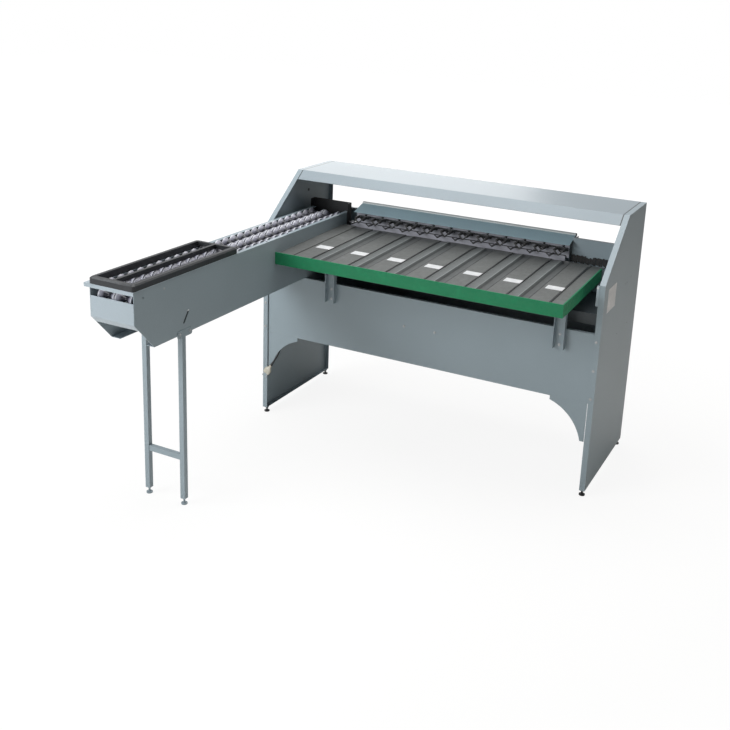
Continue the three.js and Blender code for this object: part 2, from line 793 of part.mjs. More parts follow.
// Reel at each end: a shaft with two discs, and the rods that are wrapped round it
function reelBody(degrees) {
  const shaftEnds = [webLeft + gap, webRight - gap];
  const shaft = bar("x", 0, 0, reel.shaftRadius, ...shaftEnds, 12);
  const discRadius = pitchRadius - roller.rodRadius - reel.discRootGap;
  const besideRod = chain.strip + reel.discGap;
  const discAt = [rodLeft + besideRod, rodRight - besideRod - reel.discThickness];
  const pieces = [shaft];
  discAt.forEach((x) => pieces.push(bar("x", 0, 0, discRadius, x, x + reel.discThickness, 18)));
  degrees.forEach((angle) => {
    const turn = new THREE.Matrix4().makeRotationX((-angle * Math.PI) / 180);
    pieces.push(rollerRod().translate(0, 0, pitchRadius).applyMatrix4(turn));
    discAt.forEach((x) => {
      const half = reel.tabWidth / 2;
      const tab = block(x, x + reel.discThickness, -half, half, discRadius - half, pitchRadius + half / 2);
      pieces.push(tab.applyMatrix4(turn));
    });
  });
  return join(...pieces);
}

const toothAngle = 360 / roller.teeth;
const tailReel = addMesh("tail_reel", reelBody([-1, -2, -3].map((n) => n * toothAngle)), paleNylon);
tailReel.position.set(0, tailY, reelAxisZ);
const headReel = addMesh("head_reel", reelBody([0, 1, 2, 3].map((n) => n * toothAngle)), paleNylon);
headReel.position.set(0, headY, reelAxisZ);

// Leg frame: two tubes and a crossbar, with side plates at the top and feet below
function footSolid(x, y) {
  const disc = bar("z", x, y, foot.discRadius, 0, foot.discHeight, 16);
  const stem = bar("z", x, y, foot.stemRadius, 0, body.bottom - gap, 8);
  const nut = bar("z", x, y, foot.nutRadius, body.bottom - gap - foot.nutHeight, body.bottom - gap, 6);
  return join(disc, stem, nut);
}

function legFrame() {
  const half = leg.tube / 2;
  const lefts = [webLeft + half, webRight - half];
  const top = infeedBottom - gap;
  const tubes = lefts.map((x) => block(x - half, x + half, leg.y - half, leg.y + half, body.bottom, top));
  const crossTop = leg.crossBottom + leg.crossHeight;
  const crossbar = block(...lefts, leg.y - half + sheet, leg.y + half - sheet, leg.crossBottom, crossTop);
  const plates = [];
  [
    [infeedLeft, -1],
    [infeed.right, 1],
  ].forEach(([face, outwards]) => {
    const near = face + outwards * gap;
    const far = near + outwards * legPlate.thickness;
    const tubeFace = face - outwards * sheet;
    const reach = legPlate.length / 2;
    const low = top - legPlate.drop;
    const high = top + legPlate.rise;
    const outline = roundedRectangle(leg.y - reach, leg.y + reach, low, high, legPlate.round, 3);
    plates.push(prism("x", outline, Math.min(near, far), Math.max(near, far)));
    const acrossTube = [Math.min(tubeFace, far), Math.max(tubeFace, far)];
    plates.push(block(...acrossTube, leg.y - half, leg.y + half, low, top));
  });
  const stemEnds = [foot.discHeight / 2, body.bottom + sheet];
  const stems = lefts.map((x) => bar("z", x, leg.y, foot.stemRadius, ...stemEnds, 8));
  const discs = lefts.map((x) => bar("z", x, leg.y, foot.discRadius, 0, foot.discHeight, 16));
  return join(...tubes, crossbar, ...plates, ...stems, ...discs);
}

addMesh("leg_frame", legFrame(), paleSheet);

const footX = { left: foot.inset, right: body.length - foot.inset };
const footY = { front: foot.inset + sheet, rear: body.depth - foot.inset - sheet };
Object.entries(footX).forEach(([side, x]) => {
  Object.entries(footY).forEach(([end, y]) => {
    addMesh(`foot_${end}_${side}`, footSolid(x, y), zinc);
  });
});

// Collection table: a sheet joggled down between the lanes and up beside the first lane, six lane
// dividers in its lower strips and a bumper round it, all tilted down to the front in their own group
const tableGroup = new THREE.Group();
tableGroup.position.set(0, table.front, table.frontHeight);
tableGroup.rotation.x = slope;
place.add(tableGroup);

const tableLeft = infeed.right + 2 * gap;
const tableRight = tableEdge - bumper.thickness - bumper.sideGap;
const tableLength = (table.back - table.front) / Math.cos(slope);
const laneAt = (i) => table.firstLane + 2 * i * step;
const tablePath = [[tableRight, -table.joggle]];
for (let i = table.lanes - 1; i >= 0; i--) {
  const from = laneAt(i) + step;
  const to = laneAt(i);
  const beside = i > 0 ? -table.joggle : table.joggle;
  tablePath.push([from, -table.joggle], [from, 0], [to, 0], [to, beside]);
}
tablePath.push([tableLeft, table.joggle]);
const tableEnds = [bumper.thickness + gap, tableLength];
const tableSheet = prism("y", folded(tablePath, sheet), ...tableEnds);
addMesh("collection_table", tableSheet, steelGrey, tableGroup);

// Lane divider: a closed ridge profile with a low strip along its right side
const ridgeWidth = step - 2 * gap;
const ridgeFoot = gap - table.joggle;
const ridgeOutline = ridgeShares.map(([u, v]) => [gap + u * ridgeWidth, ridgeFoot + v * table.ridge]);
for (let i = 1; i < table.lanes; i++) {
  const ridge = prism("y", [...ridgeOutline].reverse(), ...tableEnds);
  const mesh = addMesh(`lane_divider_${i}`, ridge, steelGrey, tableGroup);
  mesh.position.x = laneAt(i) - step;
}

// Bumper: a green strip along the front and the right side of the table
const bumperOutline = [
  [tableLeft, 0],
  [tableEdge, 0],
  [tableEdge, bumper.sideLength],
  [tableEdge - bumper.thickness, bumper.sideLength],
  [tableEdge - bumper.thickness, bumper.thickness],
  [tableLeft, bumper.thickness],
];
addMesh("table_bumper", prism("z", bumperOutline, -bumper.below, bumper.above), green, tableGroup);

// Table brackets: upright channels on the front panel that carry the table's overhang
function tableBracket(x) {
  const half = bracket.width / 2;
  const path = [
    [x - half, -bracket.projection],
    [x - half, frontPanel.recess - gap],
    [x + half, frontPanel.recess - gap],
    [x + half, -bracket.projection],
  ];
  const top = underTable(-bracket.projection);
  return prism("z", folded(path.reverse(), sheet), bracket.bottom, top);
}

addMesh("table_bracket_left", tableBracket(bracket.fromLeft), paint);
addMesh("table_bracket_right", tableBracket(body.length - bracket.fromRight), paint);

// Scale end plates: stand on the deck, hold the pivot shaft and carry the cover
const coverFront = scale.shaftZ + cover.frontRise;
const coverBack = scale.shaftZ + cover.backRise;
const coverSlope = (coverBack - coverFront) / (cover.back - cover.front);
const coverDrop = sheet * Math.hypot(1, coverSlope) + gap;
const underCover = (y) => coverFront + (y - cover.front) * coverSlope - coverDrop;
const endPlateAt = [scale.first - endPlate.roomLeft, lastCup + endPlate.roomRight];
const endPlateOutline = [
  [endPlate.front, deck.height + gap],
  [endPlate.back, deck.height + gap],
  [endPlate.back, coverBack - cover.tail - gap],
  [cover.back - bead.radius, coverBack - cover.tail - gap],
  [cover.back - bead.radius, underCover(cover.back - bead.radius)],
  [endPlate.front, underCover(endPlate.front)],
];
const shaftHole = circle(scale.shaftY, scale.shaftZ, scale.shaftRadius + gap, 10);

function scaleEndPlate(x) {
  return prism("x", endPlateOutline, x, x + sheet, [shaftHole]);
}

addMesh("scale_end_plate_left", scaleEndPlate(endPlateAt[0]), darkPaint);
addMesh("scale_end_plate_right", scaleEndPlate(endPlateAt[1]), darkPaint);

// Pivot shaft of the weighing cups, standing out a little past both end plates
const shaftEnds = [endPlateAt[0] - sheet, endPlateAt[1] + 2 * sheet];
addMesh("pivot_shaft", bar("x", scale.shaftY, scale.shaftZ, scale.shaftRadius, ...shaftEnds, 10), zinc);

// Scale cover: a sloped sheet with a rolled upper edge
const beadCentre = [cover.back + bead.radius, coverBack];
const coverPath = [
  [cover.front, coverFront],
  [cover.back, coverBack],
  ...arc(...beadCentre, bead.radius, bead.startAngle, 0, 6),
  [cover.back + 2 * bead.radius, coverBack - cover.tail],
];
const coverEnds = [endPlateAt[0] - cover.overhang, endPlateAt[1] + sheet + cover.overhang];
addMesh("scale_cover", prism("x", folded(coverPath.reverse(), sheet), ...coverEnds), paint);

// Weighing cup: a bent-wire cradle on a flat arm, with its hub and its counterweight
function weighingCup() {
  const half = scale.cupWidth / 2;
  const wirePath = [
    [-half, -scale.cupBack, -scale.veeTop],
    [0, -scale.cupBack, -scale.veeBottom],
    [half, -scale.cupBack, -scale.veeTop],
    [half, -scale.cupFront, -scale.veeTop],
    [0, -scale.cupFront, -scale.veeBottom],
    [-half, -scale.cupFront, -scale.veeTop],
  ];
  const cradle = tube(wirePath, scale.wire / 2, 5, true);
  const rise = scale.armHeight / 2;
  const armPath = [
    [scale.weightReach, rise],
    [0, rise],
    [-scale.armKnee, rise - scale.armKneeDrop],
    [-scale.cupBack, -scale.veeBottom + scale.wire / 2],
  ];
  const arm = prism("x", folded(armPath, scale.armHeight), -scale.armThickness / 2, scale.armThickness / 2);
  const hub = bar("x", 0, 0, scale.hubRadius, -scale.hubWidth / 2, scale.hubWidth / 2, 10);
  const weightHalf = scale.weightWidth / 2;
  const weight = bar("x", scale.weightReach, 0, scale.weightRadius, -weightHalf, weightHalf, 10);
  const bore = bar("x", 0, 0, scale.shaftRadius + gap, -scale.hubWidth, scale.hubWidth, 10);
  return cut(join(cradle, arm, hub, weight), bore);
}

for (let i = 0; i < scale.count; i++) {
  const number = String(i + 1).padStart(2, "0");
  const cup = addMesh(`weighing_cup_${number}`, weighingCup(), rubber);
  cup.position.set(scale.first + i * step, scale.shaftY, scale.shaftZ);
}

// Walking beam: a light strip behind the table's edge with two shoes on the lift rail
const beamBack = beam.front + beam.thickness;
const beamStrip = block(beamLeft, beamRight, beam.front, beamBack, beam.bottom, beam.top);
const shoeAt = [beamLeft + beam.shoeInset, beamRight - beam.shoeInset - beam.shoe];
const shoes = shoeAt.map((x) =>
  block(x, x + beam.shoe, beam.front, beamBack + beam.shoeDepth, beam.bottom, beam.bottom + beam.shoeHeight),
);
addMesh("walking_beam", join(beamStrip, ...shoes), zinc);

// Forks: a comb of black prongs behind the beam that reach over it and between the cups
function forkComb() {
  const front = beamBack + gap;
  const low = beam.top + gap;
  const top = low + fork.armHeight;
  const barTop = low + fork.armHeight / 2;
  const pieces = [block(beamLeft, beamRight, front, front + fork.bar, beam.top - fork.barDrop, barTop)];
  for (let i = 0; i < scale.count; i++) {
    const x = scale.first + (i - 0.5) * step;
    const half = fork.width / 2;
    const arm = block(x - fork.arm / 2, x + fork.arm / 2, fork.reach, front + fork.bar, low, top);
    const veePath = [
      [x + half, top + fork.rise],
      [x, top],
      [x - half, top + fork.rise],
    ];
    const vee = prism("y", folded(veePath, fork.bar), fork.reach, fork.reach + fork.thickness);
    pieces.push(arm, vee);
  }
  return join(...pieces);
}

addMesh("beam_forks", forkComb(), rubber);

// Lift frame: a rail that reaches past the beam's shoes over their whole stroke, and its two guide
// posts in the deck's bushes
const railTop = beam.bottom - gap;
const railFront = beamBack + gap;
const railBack = railFront + lift.railDepth;
const railBlock = block(liftLeft, liftRight, railFront, railBack, railTop - lift.railHeight, railTop);
const postBottom = deck.height + aboveDeck.postFoot;
const posts = postAt.map((x) =>
  bar("z", x, railY, lift.postRadius, postBottom, railTop - lift.railHeight / 2, 12),
);
addMesh("lift_frame", join(railBlock, ...posts), zinc);

// Gearmotor on the base pan: gearbox with feet, finned motor and output shaft
const driveZ = panTop + gap + drive.foot + drive.boxHeight / 2;

function gearmotor() {
  const half = drive.boxWidth / 2;
  const front = drive.y - drive.boxDepth / 2;
  const back = drive.y + drive.boxDepth / 2;
  const bottom = panTop + gap;
  const box = block(
    drive.x - half,
    drive.x + half,
    front,
    back,
    bottom + drive.foot / 2,
    bottom + drive.foot + drive.boxHeight,
  );
  const sole = block(
    drive.x - half - 2 * drive.foot,
    drive.x + half + 2 * drive.foot,
    front + drive.foot,
    back - drive.foot,
    bottom,
    bottom + drive.foot,
  );
  const ring = [];
  for (let i = 0; i < 2 * drive.fins; i++) {
    const angle = (i / drive.fins) * Math.PI;
    const radius = drive.motorRadius - (i % 2) * drive.motorFin;
    ring.push([drive.y + radius * Math.cos(angle), driveZ + radius * Math.sin(angle)]);
  }
  const motor = prism("x", ring, drive.x + half - sheet, drive.x + half + drive.motorLength);
  return join(box, sole, motor);
}

addMesh("gearmotor", gearmotor(), darkPaint);

// Crank disc on the gearbox, with its crank pin
function crankDisc() {
  const disc = bar("y", 0, 0, drive.discRadius, -drive.discThickness, 0, 18);
  const pinEnd = -drive.discThickness - drive.pinLength;
  const pin = bar("y", 0, drive.throwRadius, drive.pinRadius, pinEnd, -sheet, 12);
  return join(disc, pin);
}

const crank = addMesh("crank_disc", crankDisc(), zinc);
crank.position.set(drive.x, drive.y - drive.boxDepth / 2 - gap, driveZ);

// Back panel of the last lane, with a slit rubber flap at its foot
const backPath = [
  [backPanel.y, deck.height + gap],
  [backPanel.y, backPanel.top],
  [backPanel.y + backPanel.returnDepth, backPanel.top],
];
const backPanelLeft = coverEnds[1] + gap;
addMesh("lane_back_panel", prism("x", folded(backPath.reverse(), sheet), backPanelLeft, insideRight), paint);

function flapStrip() {
  const left = backPanelLeft + flap.insetLeft;
  const right = tableEdge - flap.insetRight;
  const length = right - left;
  const bottom = tableAt(backPanel.y) + table.joggle;
  const top = bottom + flap.height;
  const count = Math.round(length / flap.tooth);
  const pitch = (length + flapSlit.width) / count;
  const [neckLeft, neckRight] = flapNeckShares.map((share) => left + share * length);
  const outline = [
    [right, top],
    [neckRight, top],
    [neckRight, bottom + flap.neck],
    [neckLeft, bottom + flap.neck],
    [neckLeft, top],
    [left, top],
  ];
  for (let i = 0; i < count; i++) {
    const from = left + i * pitch;
    const to = from + pitch - flapSlit.width;
    outline.push([from, bottom], [to, bottom]);
    const slitTop = bottom + flapSlit.depth;
    if (i < count - 1) outline.push([to, slitTop], [to + flapSlit.width, slitTop]);
  }
  const back = backPanel.y - gap;
  return prism("y", outline, back - flap.thickness, back);
}

addMesh("lane_flap", flapStrip(), rubber);

// Cord coil: it leaves the gland, comes down to the pan, spirals in, climbs and spirals out again
const cordRest = panTop + gap + cord.diameter / 2;
const glandZ = panTop + 2 * gap + gland.radius;

function coilPoint(count) {
  const turns = count / cord.loopSteps;
  const reversal = cord.loopsBelow;
  const climb = THREE.MathUtils.smoothstep(turns, reversal - cord.climbTurns, reversal + cord.climbTurns);
  const descent = 1 - THREE.MathUtils.smoothstep(turns, 0, cord.descentTurns);
  const radius = cord.innerRadius + Math.abs(turns - reversal) * cord.turnPitch;
  const angle = Math.PI / 2 + turns * 2 * Math.PI;
  return [
    cord.coilX + radius * Math.cos(angle),
    cord.coilY + radius * Math.sin(angle),
    cordRest + climb * cord.layerPitch + descent * (glandZ - cordRest),
  ];
}

const coilPoints = [];
for (let i = 0; i <= cord.loops * cord.loopSteps; i++) coilPoints.push(coilPoint(i));

// Both ends of the coil run straight for one diameter
const coilStart = coilPoints[0];
const coilEnd = coilPoints[coilPoints.length - 1];
const coilIn = [coilStart[0] + cord.diameter, coilStart[1], coilStart[2]];
const coilOut = [coilEnd[0], coilEnd[1] - cord.diameter, coilEnd[2]];
const coilPath = [coilIn, ...coilPoints, coilOut];
addMesh("cord_coil", tube(coilPath, cord.diameter / 2, cord.coilSides), rubber);

// Least gap between turns, measured on the points that lie more than half a turn apart
function leastSelfGap(points) {
  let least = Infinity;
  for (let i = 0; i < points.length; i++) {
    for (let j = i + cord.loopSteps / 2; j < points.length; j++) {
      const distance = Math.hypot(...points[i].map((value, axis) => value - points[j][axis]));
      least = Math.min(least, distance);
    }
  }
  return least - cord.diameter;
}

console.log(`cord coil: least gap between turns ${leastSelfGap(coilPoints).toFixed(2)} mm`);

// Terminal box on the base pan with the gland that the power cord leaves by
function terminalBox() {
  const left = coilIn[0] + gap + gland.length;
  const y = coilIn[1];
  const bottom = panTop + gap;
  const front = y - terminal.margin;
  const right = left + terminal.width;
  const box = block(left, right, front, front + terminal.depth, bottom, bottom + terminal.height);
  const points = [
    new THREE.Vector2(0, -sheet),
    new THREE.Vector2(gland.radius, -sheet),
    new THREE.Vector2(gland.radius, gland.length / 2),
    new THREE.Vector2(gland.tipRadius, gland.length),
    new THREE.Vector2(0, gland.length),
  ];
  const sleeve = new THREE.LatheGeometry(points, 12).rotateZ(Math.PI / 2).translate(left, y, glandZ);
  return join(box, sleeve);
}

addMesh("terminal_box", terminalBox(), blackPlastic);

// Smooth path through points, for the hanging end of the cord
function smoothPath(points, steps) {
  const curve = new THREE.CatmullRomCurve3(points.map((p) => new THREE.Vector3(...p)), false, "centripetal");
  return curve.getPoints(steps).map((p) => p.toArray());
}

const tailPoints = [
  [coilOut[0], coilOut[1] - gap - cord.diameter, coilOut[2]],
  [98, 101, 408],
  [94, 88, 415],
  [91, 75, 419],
  [88, 62, 417],
  [86, 51, 410],
  [84, 43, 399],
  [83, 38, 384],
  [81, 35, 362],
  [79, 28, 336],
  [77, 19, 310],
  [71, 7, 284],
  [62, -6, 261],
  [51, -13, 240],
];
const tailPath = [[coilOut[0], coilOut[1] - gap, coilOut[2]], ...smoothPath(tailPoints, 30)];
addMesh("cord_tail", tube(tailPath, cord.diameter / 2, cord.sides), rubber);

// Plug: a tapered two-pin body that hangs at the end of the cord, turned in line with it
function plugSolid() {
  const halfWidth = plug.width / 2;
  const neck = cord.diameter;
  const side = [
    [-neck, 0],
    [neck, 0],
    [neck + sheet, -plug.length / 4],
    [halfWidth, -plug.length / 2],
    [halfWidth, -plug.length],
    [-halfWidth, -plug.length],
    [-halfWidth, -plug.length / 2],
    [-neck - sheet, -plug.length / 4],
  ];
  const body = prism("y", side.reverse(), -plug.thickness / 2, plug.thickness / 2);
  const pins = [-1, 1].map((way) => {
    const x = (way * plug.pinSpacing) / 2;
    return bar("z", x, 0, plug.pin / 2, -plug.length - plug.pinLength, -plug.length + plug.pinCollar, 8);
  });
  return join(body, ...pins);
}

const tailEnd = new THREE.Vector3(...tailPoints[tailPoints.length - 1]);
const tailBefore = new THREE.Vector3(...tailPath[tailPath.length - 2]);
const hang = tailEnd.clone().sub(tailBefore).normalize();
const plugMesh = addMesh("plug", plugSolid(), beige);
plugMesh.quaternion.setFromUnitVectors(new THREE.Vector3(0, 0, -1), hang);
plugMesh.position.copy(tailEnd.addScaledVector(hang, gap));

// The origin is the bottom centre of the whole machine
place.position.set(-body.length / 2, -(frameFront + body.depth) / 2, 0);

export default machine;
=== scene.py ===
"""Looks of the egg grading machine: camera, materials, and the pieces that need finer
forms than the solids have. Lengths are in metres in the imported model's frame. Places and
sizes that go through at_mm are in millimetres in the drawing frame."""
import math

import bmesh
import bpy
from mathutils import Matrix, Vector


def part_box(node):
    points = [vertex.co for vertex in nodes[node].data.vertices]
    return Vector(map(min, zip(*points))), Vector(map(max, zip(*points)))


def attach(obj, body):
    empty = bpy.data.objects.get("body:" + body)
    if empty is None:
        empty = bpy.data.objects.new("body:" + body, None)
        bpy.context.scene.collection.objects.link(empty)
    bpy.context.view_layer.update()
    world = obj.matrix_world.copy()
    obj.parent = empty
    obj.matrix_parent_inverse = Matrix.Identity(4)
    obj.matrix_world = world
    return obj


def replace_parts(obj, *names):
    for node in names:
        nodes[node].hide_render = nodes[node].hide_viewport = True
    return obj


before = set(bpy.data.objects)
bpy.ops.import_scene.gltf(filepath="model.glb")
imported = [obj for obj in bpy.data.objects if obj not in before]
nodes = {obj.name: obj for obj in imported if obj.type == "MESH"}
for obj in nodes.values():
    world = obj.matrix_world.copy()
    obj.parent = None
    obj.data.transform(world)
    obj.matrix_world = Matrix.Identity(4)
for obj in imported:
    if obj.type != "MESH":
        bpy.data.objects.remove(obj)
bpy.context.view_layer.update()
MM = 0.001
SHIFT = Vector((-750, 274.8, 0)) * MM
RIGHT, FRONT, BACK, UP = (1, 0, 0), (0, -1, 0), (0, 1, 0), (0, 0, 1)


def at_mm(x, y, z):
    """Place of the drawing frame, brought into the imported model's frame."""
    return Vector((x, y, z)) * MM + SHIFT


# Camera: place, angles and framing of the photograph's view
CAMERA_AT = Vector((1589.1, -3249.2, 1932.1)) * MM
CAMERA_YAW = math.radians(26.874)
CAMERA_PITCH = math.radians(-15.653)
CAMERA_ROLL = math.radians(2.239)
IMAGE_PIXELS = 730
FOCAL_PIXELS = 1000.86
CENTRE_PIXEL_X = 377.1
CENTRE_PIXEL_Y = 256.2
SENSOR_WIDTH = 36.0


def make_camera():
    level = math.cos(CAMERA_PITCH)
    forward = Vector((-math.sin(CAMERA_YAW) * level, math.cos(CAMERA_YAW) * level, math.sin(CAMERA_PITCH)))
    right = forward.cross(Vector((0, 0, 1))).normalized()
    up = right.cross(forward)
    turned_right = right * math.cos(CAMERA_ROLL) + up * math.sin(CAMERA_ROLL)
    turned_up = up * math.cos(CAMERA_ROLL) - right * math.sin(CAMERA_ROLL)
    data = bpy.data.cameras.new("camera")
    data.sensor_width = SENSOR_WIDTH
    data.lens = SENSOR_WIDTH * FOCAL_PIXELS / IMAGE_PIXELS
    data.shift_x = (IMAGE_PIXELS / 2 - CENTRE_PIXEL_X) / IMAGE_PIXELS
    data.shift_y = (CENTRE_PIXEL_Y - IMAGE_PIXELS / 2) / IMAGE_PIXELS
    camera = bpy.data.objects.new("camera", data)
    bpy.context.scene.collection.objects.link(camera)
    turn = Matrix((turned_right, turned_up, -forward)).transposed().to_4x4()
    camera.matrix_world = Matrix.Translation(CAMERA_AT) @ turn
    bpy.context.scene.camera = camera


make_camera()
bpy.context.scene.view_settings.view_transform = "Standard"

# Materials

# Sockets of a mix node that blends two colours
MIX_BASE, MIX_OTHER, MIX_RESULT = 6, 7, 2


class Recipe:
    """A node material under construction: the shader and short ways to feed it."""

    def __init__(self, name, color, roughness, metallic=0.0):
        self.material = bpy.data.materials.new(name)
        self.material.use_nodes = True
        self.material.diffuse_color = (*color, 1)
        self.tree = self.material.node_tree
        self.shader = self.tree.nodes["Principled BSDF"]
        self.color = color
        self.set("Base Color", (*color, 1))
        self.set("Roughness", roughness)
        self.set("Metallic", metallic)
        self.coordinates = self.tree.nodes.new("ShaderNodeTexCoord").outputs["Object"]

    def set(self, socket, value):
        self.shader.inputs[socket].default_value = value

    def link(self, output, target):
        self.tree.links.new(output, target)

    def stretched(self, scale):
        mapping = self.tree.nodes.new("ShaderNodeMapping")
        mapping.inputs["Scale"].default_value = scale
        self.link(self.coordinates, mapping.inputs["Vector"])
        return mapping.outputs["Vector"]

    def noise(self, scale, detail=2.0, stretch=(1, 1, 1)):
        texture = self.tree.nodes.new("ShaderNodeTexNoise")
        texture.inputs["Scale"].default_value = scale
        texture.inputs["Detail"].default_value = detail
        self.link(self.stretched(stretch), texture.inputs["Vector"])
        return texture.outputs["Fac"]

    def cells(self, scale):
        texture = self.tree.nodes.new("ShaderNodeTexVoronoi")
        texture.inputs["Scale"].default_value = scale
        self.link(self.coordinates, texture.inputs["Vector"])
        return texture.outputs["Distance"]

    def across(self):
        """Distance from the object's middle plane, along X."""
        parts = self.tree.nodes.new("ShaderNodeSeparateXYZ")
        self.link(self.coordinates, parts.inputs[0])
        size = self.tree.nodes.new("ShaderNodeMath")
        size.operation = "ABSOLUTE"
        self.link(parts.outputs["X"], size.inputs[0])
        return size.outputs[0]

    def attribute(self, name):
        node = self.tree.nodes.new("ShaderNodeAttribute")
        node.attribute_name = name
        return node.outputs["Fac"]

    def ramp(self, value, low, high, out_low=0.0, out_high=1.0):
        node = self.tree.nodes.new("ShaderNodeMapRange")
        node.inputs["From Min"].default_value = low
        node.inputs["From Max"].default_value = high
        node.inputs["To Min"].default_value = out_low
        node.inputs["To Max"].default_value = out_high
        self.link(value, node.inputs["Value"])
        return node.outputs["Result"]

    def tint(self, factor, other, base=None):
        """Colour that goes from base to other with the factor."""
        mix = self.tree.nodes.new("ShaderNodeMix")
        mix.data_type = "RGBA"
        if base is None:
            mix.inputs[MIX_BASE].default_value = (*self.color, 1)
        else:
            self.link(base, mix.inputs[MIX_BASE])
        mix.inputs[MIX_OTHER].default_value = (*other, 1)
        self.link(factor, mix.inputs["Factor"])
        return mix.outputs[MIX_RESULT]

    def paint(self, color):
        self.link(color, self.shader.inputs["Base Color"])

    def roughen(self, value, low, high):
        self.link(self.ramp(value, 0.3, 0.7, low, high), self.shader.inputs["Roughness"])

    def bump(self, value, strength, distance):
        node = self.tree.nodes.new("ShaderNodeBump")
        node.inputs["Strength"].default_value = strength
        node.inputs["Distance"].default_value = distance
        self.link(value, node.inputs["Height"])
        self.link(node.outputs["Normal"], self.shader.inputs["Normal"])


def shade(color, amount):
    return tuple(min(1.0, channel * amount) for channel in color)


# Width, blur and darkness of the painted shadow of the gap at a sheet's ends
SEAM_WIDTH = 0.004
SEAM_BLUR = 0.0005
SEAM_SHADE = 0.14


def painted(name, color, roughness=0.38, seam_at=None):
    """Hammered enamel: fine dimples, slow changes of tone, and beyond a distance a painted shadow of the
    seam gap.
    """
    recipe = Recipe(name, color, roughness)
    slow = recipe.noise(2.2, 3)
    fleck = recipe.noise(420, 2)
    toned = recipe.tint(recipe.ramp(slow, 0.35, 0.65, 0, 1), shade(color, 1.07))
    flecked = recipe.tint(recipe.ramp(fleck, 0.35, 0.7, 0, 0.45), shade(color, 0.86), toned)
    # Beyond seam_at the colour darkens: painted shadow of the gap between the sheets
    if seam_at is not None:
        beyond = recipe.ramp(recipe.across(), seam_at - SEAM_BLUR, seam_at)
        flecked = recipe.tint(beyond, shade(color, SEAM_SHADE), flecked)
    recipe.paint(flecked)
    recipe.roughen(recipe.noise(240, 2), roughness - 0.02, roughness + 0.05)
    recipe.bump(recipe.cells(520), 0.16, 0.0004)
    recipe.set("Coat Weight", 0.12)
    recipe.set("Coat Roughness", 0.25)
    return recipe.material


def brushed(name, color, roughness, along, metallic=0.75):
    """Rolled sheet with fine streaks along one axis and a few worn patches."""
    recipe = Recipe(name, color, roughness, metallic)
    stretch = tuple(0.02 if axis == along else 1.0 for axis in "xyz")
    streak = recipe.noise(900, 2, stretch)
    worn = recipe.noise(9, 4)
    streaked = recipe.tint(recipe.ramp(streak, 0.35, 0.65, 0, 1), shade(color, 0.82))
    recipe.paint(recipe.tint(recipe.ramp(worn, 0.5, 0.75, 0, 0.6), shade(color, 1.18), streaked))
    recipe.roughen(recipe.noise(40, 3), roughness - 0.07, roughness + 0.12)
    recipe.bump(streak, 0.08, 0.0002)
    return recipe.material


def zinc_plated(name, color=(0.62, 0.63, 0.64)):
    recipe = Recipe(name, color, 0.34, 0.9)
    spangle = recipe.cells(160)
    recipe.paint(recipe.tint(recipe.ramp(spangle, 0.1, 0.7, 0, 1), shade(color, 0.78)))
    recipe.roughen(recipe.noise(90, 2), 0.28, 0.46)
    recipe.bump(recipe.noise(600, 2), 0.05, 0.0002)
    return recipe.material


def plastic(name, color, roughness, grain=700, coat=0.0):
    """Moulded plastic: soft grain and slight scuffs."""
    recipe = Recipe(name, color, roughness)
    scuff = recipe.noise(35, 4)
    recipe.paint(recipe.tint(recipe.ramp(scuff, 0.5, 0.75, 0, 0.7), shade(color, 1.25)))
    recipe.roughen(recipe.noise(80, 3), roughness - 0.06, roughness + 0.12)
    recipe.bump(recipe.noise(grain, 3), 0.12, 0.0003)
    recipe.set("Coat Weight", coat)
    return recipe.material


def roller_nylon(name, waist_shade, cone, rim):
    """Grey nylon painted pale at the rim as a painted highlight and near black towards the waist as painted
    shade between the rollers, with random dust over it.
    """
    recipe = Recipe(name, rim, 0.3)
    girth = recipe.attribute("girth")
    dust = recipe.noise(60, 3)
    # Pale rim is a painted highlight; the darker cone and near-black waist are painted shade
    rim_highlight = recipe.tint(recipe.ramp(girth, 1.0, 0.82), cone)
    toned = recipe.tint(recipe.ramp(girth, 0.72, 0.44), waist_shade, rim_highlight)
    recipe.paint(recipe.tint(recipe.ramp(dust, 0.5, 0.8, 0, 0.4), shade(cone, 0.6), toned))
    recipe.roughen(recipe.noise(80, 3), 0.24, 0.4)
    recipe.bump(recipe.noise(1200, 3), 0.1, 0.0003)
    return recipe.material


def ridge_with_painted_highlight(name, color, crest):
    """Rolled sheet with a painted highlight along its crest, mixed in by the crest attribute."""
    recipe = Recipe(name, color, 0.5, 0.1)
    streak = recipe.noise(900, 2, (1, 0.02, 1))
    streaked = recipe.tint(recipe.ramp(streak, 0.35, 0.65, 0, 1), shade(color, 0.84))
    recipe.paint(recipe.tint(recipe.attribute("crest"), crest, streaked))
    recipe.roughen(recipe.noise(40, 3), 0.5, 0.62)
    recipe.bump(streak, 0.08, 0.0002)
    return recipe.material


def rubbery(name, color=(0.018, 0.018, 0.019)):
    recipe = Recipe(name, color, 0.6)
    dust = recipe.noise(55, 4)
    recipe.paint(recipe.tint(recipe.ramp(dust, 0.45, 0.75, 0, 0.6), (0.07, 0.068, 0.064)))
    recipe.roughen(dust, 0.52, 0.74)
    recipe.bump(recipe.noise(1400, 2), 0.2, 0.0002)
    return recipe.material


GREY_BLUE = (0.335, 0.405, 0.445)
PALE_BLUE = (0.44, 0.51, 0.56)
CHARCOAL = (0.022, 0.024, 0.028)
CANOPY_HALF = max(abs(corner[0]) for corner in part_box("canopy"))

